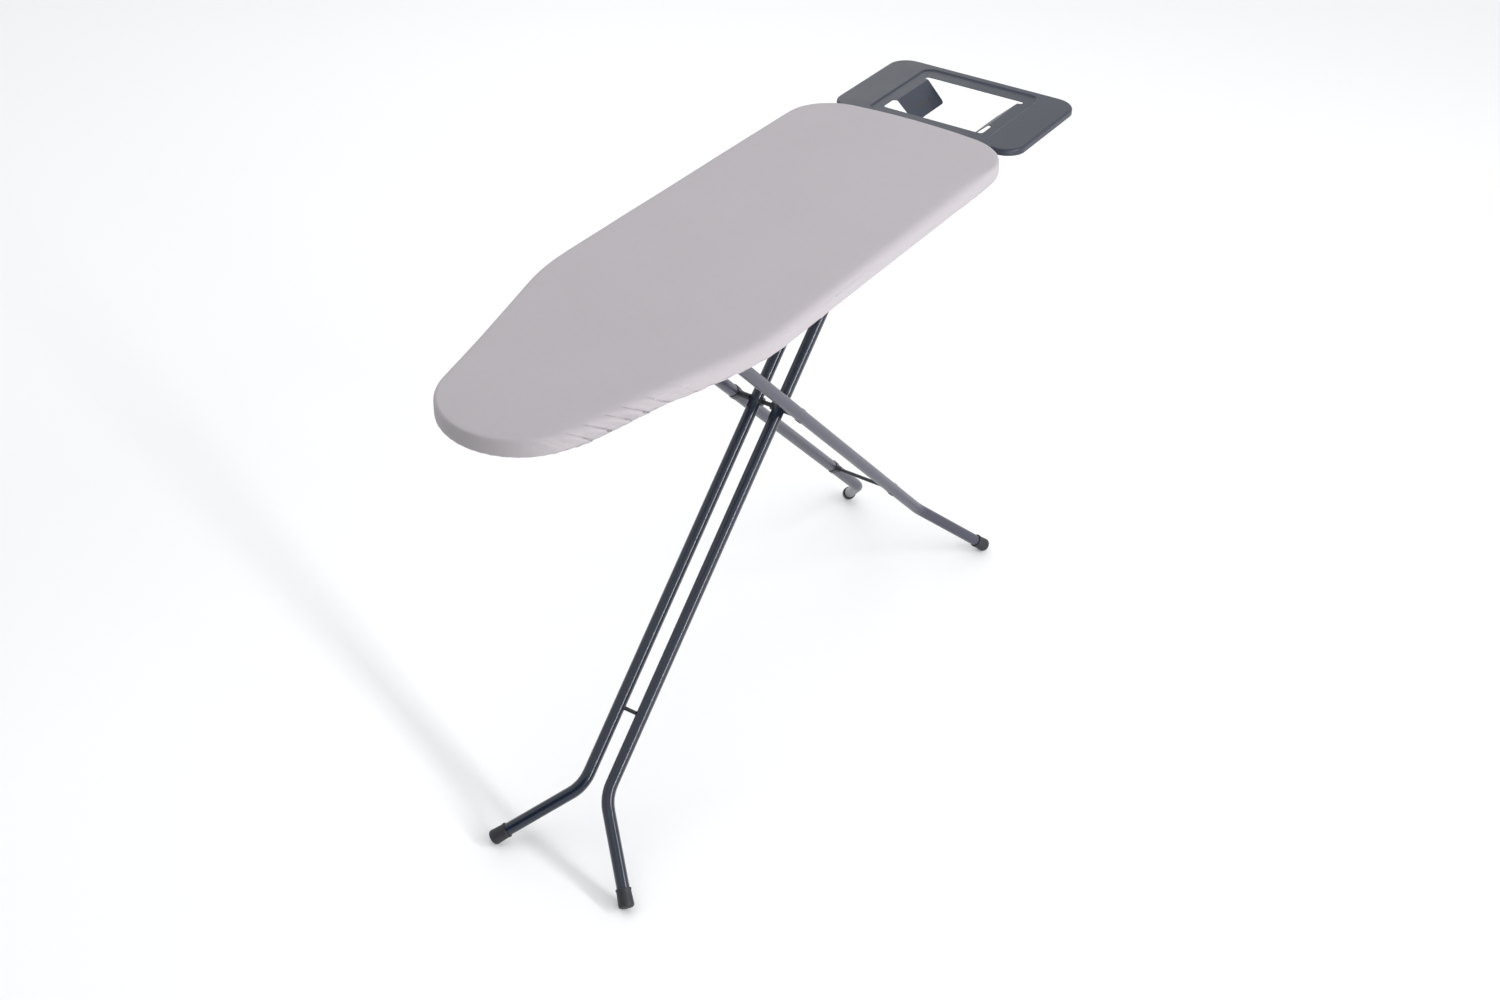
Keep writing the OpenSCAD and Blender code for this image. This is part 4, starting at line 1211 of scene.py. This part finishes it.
# The bent sheet lies a little above the plane of its fold, so the recess and its enamel do too.
recess_reach, recess_depth = 0.032, 0.012
recess_half_length, recess_half_width = 0.027, 0.0035
recess_rise, enamel_rise = 0.00665, 0.00075
enamel_half_length, enamel_half_width, enamel_t = 0.0262, 0.0030, 0.0003
almost_round = 0.00001
notch_r, notch_end, notch_depth = 0.0065, 0.0003, 0.010
arm_y, arm_half, arm_gap_top, arm_gap_depth = 0.110, 0.0094, 0.9432, 0.012
inlays = []
for side_of_board in (-1, 1):
    fold = Matrix.Translation((tongue_x, side_of_board * opening_half, field_z))
    fold = fold @ Matrix.Rotation(side_of_board * tongue_angle, 4, "X")
    mark_punch = punch(-recess_half_length, recess_half_length, recess_half_width,
                       recess_half_width - almost_round, recess_depth)
    mark_punch.matrix_world = fold @ Matrix.Translation((0, -side_of_board * recess_reach, recess_rise))
    settle_place(mark_punch)
    strike(rest, mark_punch)
    inlay = rounded_outline("inlay", -enamel_half_length, enamel_half_length, enamel_half_width,
                            enamel_half_width - almost_round, 0)
    inlay.matrix_world = fold @ Matrix.Translation((0, -side_of_board * recess_reach, enamel_rise))
    settle_place(inlay)
    inlays.append(inlay)
    for x0, x1 in ((opening_x0 + notch_end, tongue_x - tongue_root / 2 - notch_end),
                   (tongue_x + tongue_root / 2 + notch_end, opening_x1 - notch_end)):
        notch = punch(x0, x1, notch_r, min(notch_r, (x1 - x0) / 2) - almost_round, notch_depth)
        strike_at(rest, notch, (0, side_of_board * opening_half, field_z))
    arm_gap = punch(rest_low.x - 0.002, rest_low.x + 0.008, arm_half, 0.0001, arm_gap_depth)
    strike_at(rest, arm_gap, (0, side_of_board * arm_y, arm_gap_top - arm_gap_depth / 2))
pick(rest)
soften = rest.modifiers.new("soften", "BEVEL")
soften.width = 0.00022
soften.segments = 2
soften.limit_method = "ANGLE"
soften.angle_limit = math.radians(50)
apply_all(rest)
smooth(rest, 32)
even_out(rest)
dress(rest, rest_paint)
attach(rest, "board")
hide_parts("iron_rest")
print("rest", len(rest.data.polygons), "faces")

# %% Rest: the recesses are filled with black enamel
enamel = join("rest_enamel", inlays)
enter(enamel, "FACE", "SELECT")
push_up(-enamel_t)
leave()
face_outwards(enamel)
dress(enamel, black_steel)
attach(enamel, "board")
print("enamel", len(enamel.data.polygons), "faces")

# %% [markdown]
# ## Foot caps
# Each foot wears a moulded rubber cup: a lip at the mouth, a slight swell towards the floor and a
# rounded end. The foot meets the floor at a slant, so the cup is worn flat there. The cup starts
# as one circle at the floor of its bore, and is drawn out ring by ring.

# %% Rubber foot caps
cap_profile = [
    (0.0006, 0.01105), (0.0000, 0.0116), (0.0000, 0.0127), (0.0007, 0.0133), (0.0031, 0.0133),
    (0.0038, 0.0127), (0.0046, 0.0125), (0.0150, 0.0129), (0.0262, 0.0134), (0.0288, 0.0131),
    (0.0304, 0.0122), (0.0315, 0.0107), (0.0320, 0.0086)]
cap_bore = (0.027, 0.01105)
cap_length = 0.032
worn_flat_z = 0.0001


def draw_out(start, profile, vertices=48):
    """A turned shape along +Z from (height, radius) pairs, closed at both ends."""
    bpy.ops.object.select_all(action="DESELECT")
    bpy.ops.mesh.primitive_circle_add(vertices=vertices, radius=start[1], fill_type="NGON",
                                      location=(0, 0, start[0]))
    piece = bpy.context.object
    settle_place(piece)
    enter(piece, "EDGE", "SELECT")
    height, radius = start
    for new_height, new_radius in profile:
        bpy.ops.mesh.extrude_edges_move(TRANSFORM_OT_translate={"value": (0, 0, new_height - height)})
        bpy.ops.transform.resize(value=(new_radius / radius, new_radius / radius, 1),
                                 center_override=(0, 0, new_height))
        height, radius = new_height, new_radius
    bpy.ops.mesh.edge_face_add()
    leave()
    face_outwards(piece)
    return piece


def make_cap(name, leg, bend_at, tube_y, splay, reach, side_of_board):
    """The cap of a foot that leaves its leg at a bend, turned outwards by the splay."""
    sideways = Vector((0, side_of_board, 0))
    foot_line = (leg * math.cos(splay) + sideways * math.sin(splay)).normalized()
    end = crossing + leg * bend_at + sideways * tube_y + foot_line * reach
    cap = draw_out(cap_bore, cap_profile)
    place_along(cap, end - foot_line * cap_length, foot_line)
    enter(cap, "FACE", "SELECT")
    bpy.ops.mesh.bisect(plane_co=(0, 0, worn_flat_z), plane_no=(0, 0, 1), clear_inner=True,
                        use_fill=True)
    leave()
    face_outwards(cap)
    cap.name = cap.data.name = name
    smooth(cap, 40)
    dress(cap, rubber)
    return cap


front_tube_y, rear_tube_y = 0.0237, 0.0693
foot_plans = (
    ("front", front_leg, 0.719, front_tube_y, math.radians(38.6), 0.188),
    ("rear", rear_leg, 0.6711, rear_tube_y, math.radians(26), 0.218),
)
for side_name, side_of_board in (("near", -1), ("far", 1)):
    for legs, *plan in foot_plans:
        cap = make_cap(f"{legs}_foot_{side_name}", *plan, side_of_board)
        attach(cap, f"{legs}_legs")
        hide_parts(f"{legs}_cap_{side_name}")
        print(cap.name, len(cap.data.polygons), "faces")

# %% [markdown]
# ## Rivets and screws
# A rivet is set with a domed punch, so its head is a shallow cap with a thin rim. The frame says
# where each one sits: every separate island of a rivet node is one rivet.


# %% Rivet heads and screw heads
def islands(node):
    """The box of each separate solid in a node's mesh."""
    mesh = bmesh.new()
    mesh.from_mesh(nodes[node].data)
    bmesh.ops.remove_doubles(mesh, verts=mesh.verts, dist=1e-6)
    mesh.verts.ensure_lookup_table()
    unseen, found = set(range(len(mesh.verts))), []
    while unseen:
        stack, points = [unseen.pop()], []
        while stack:
            v = mesh.verts[stack.pop()]
            points.append(v.co.copy())
            for e in v.link_edges:
                other = e.other_vert(v).index
                if other in unseen:
                    unseen.remove(other)
                    stack.append(other)
        found.append([Vector(f(p[k] for p in points) for k in range(3)) for f in (min, max)])
    mesh.free()
    return found


head_profile = [(0.12, 1.0), (0.25, 1.0), (0.55, 0.90), (0.80, 0.68), (0.95, 0.38), (1.0, 0.12)]


def heads(node, name, cross_slot):
    """Domed heads in place of a node's fasteners, with or without a cross cut into each."""
    made = []
    for low, high in islands(node):
        radius = (high.x - low.x) / 2
        height = high.z - low.z
        profile = [(height * rise, radius * share) for rise, share in head_profile]
        head = draw_out((0, radius * 0.96), profile, vertices=24)
        for turn in (0, math.pi / 2) if cross_slot else ():
            groove = punch(-radius * 0.62, radius * 0.62, 0.0005, 0.0001, height)
            groove.rotation_euler = (0, 0, turn)
            strike_at(head, groove, (0, 0, height * 1.05))
        place_along(head, ((low.x + high.x) / 2, (low.y + high.y) / 2, high.z), (0, 0, -1))
        made.append(head)
    piece = join(name, made)
    smooth(piece, 30)
    dress(piece, plated)
    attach(piece, "board")
    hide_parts(node)
    print(name, len(made), "heads")


heads("rail_rivets", "rail_rivet_heads", False)
heads("bracket_rivets", "bracket_rivet_heads", False)
heads("rest_rivets", "rest_rivet_heads", False)
heads("lever_screws", "lever_screw_heads", True)

# %% [markdown]
# ## Weld beads
# Where a thin rod meets a tube, the welder leaves a small uneven collar of metal. The paint goes
# on afterwards, so the collar has the tube's colour. Each one is a turned flare whose surface is
# roughened a little.


# %% Weld beads on the front legs
rod_radius = 0.003
bead_spread, bead_height = 0.0022, 0.0030
bead_profile = [(0.30, 0.72), (0.65, 0.32), (1.0, 0.04)]


def bead(centre, direction, seed):
    profile = [(bead_height * rise, rod_radius + bead_spread * share) for rise, share in bead_profile]
    collar = draw_out((0, rod_radius + bead_spread), profile, vertices=28)
    for v in collar.data.vertices:
        turn = math.atan2(v.co.y, v.co.x)
        spot = Vector((math.cos(turn) * 2, math.sin(turn) * 2, v.co.z * 500 + seed))
        uneven = 1 + 0.10 * noise.noise(spot)
        v.co.x *= uneven
        v.co.y *= uneven
    place_along(collar, centre, direction)
    return collar


tube_r = 0.011
bead_sunk = 0.0004
tie_at = crossing + front_leg * 0.572
beads = []
for side_of_board in (-1, 1):
    inwards = Vector((0, -side_of_board, 0))
    surface = Vector((0, side_of_board * (front_tube_y - tube_r + bead_sunk), 0))
    beads.append(bead(tie_at + surface, inwards, 5 + side_of_board))
welds = join("front_welds", beads)
smooth(welds, 60)
dress(welds, front_paint)
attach(welds, "front_legs")
print("welds", len(welds.data.polygons), "faces")

# %% [markdown]
# ## Lever grip
# The hand finds the lever blind, under the board, so its grip is a fat rounded tab with ribs
# across it. A plate with one round end is pushed up to its full height and all its edges are
# rolled over; the ribs are half-sunk rods.

# %% Lever grip
grip_low, grip_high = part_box("lever_grip")
grip_mid = (grip_low + grip_high) / 2
half_grip = (grip_high.x - grip_low.x) / 2
grip_length = grip_high.y - grip_low.y
grip_height = grip_high.z - grip_low.z
rib_rise = 0.0008
rib_radius, rib_drop = 0.0011, 0.0012
grip = rounded_outline("grip", -grip_length / 2, grip_length / 2, half_grip, half_grip * 0.55, 0,
                       segments=6)
enter(grip, "FACE", "SELECT")
push_up(grip_height - rib_rise)
leave()
face_outwards(grip)
enter(grip, "EDGE")
mark("EDGE", lambda e: abs(e.verts[0].co.z - e.verts[1].co.z) < 1e-6)
bpy.ops.mesh.bevel(offset=0.0026, segments=4, affect="EDGES")
leave()
ribs = [grip]
for k in range(6):
    bpy.ops.object.select_all(action="DESELECT")
    rib_x = grip_length * (-0.08 + 0.078 * k)
    bpy.ops.mesh.primitive_cylinder_add(vertices=16, radius=rib_radius, depth=half_grip * 1.5,
                                        location=(rib_x, 0, grip_height - rib_drop),
                                        rotation=(math.pi / 2, 0, 0))
    rib = bpy.context.object
    settle_place(rib)
    ribs.append(rib)
grip = join("grip", ribs)
grip_place = Matrix.Translation((grip_mid.x, grip_mid.y, grip_low.z))
grip.matrix_world = grip_place @ Matrix.Rotation(math.pi / 2, 4, "Z")
settle_place(grip)
smooth(grip, 40)
dress(grip, plastic)
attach(grip, "height_lever")
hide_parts("lever_grip")
print("grip", len(grip.data.polygons), "faces")

# %% [markdown]
# ## Size check
# The looks must not change the size. The box of the frame and the box of the finished model are
# set side by side, and the change at each side is printed in millimetres.

# %% Sizes
new_low, new_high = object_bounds()
corners = zip((*new_low, *new_high), (*cad_low, *cad_high))
print("size change in mm", [round((a - b) * 1000, 2) for a, b in corners])
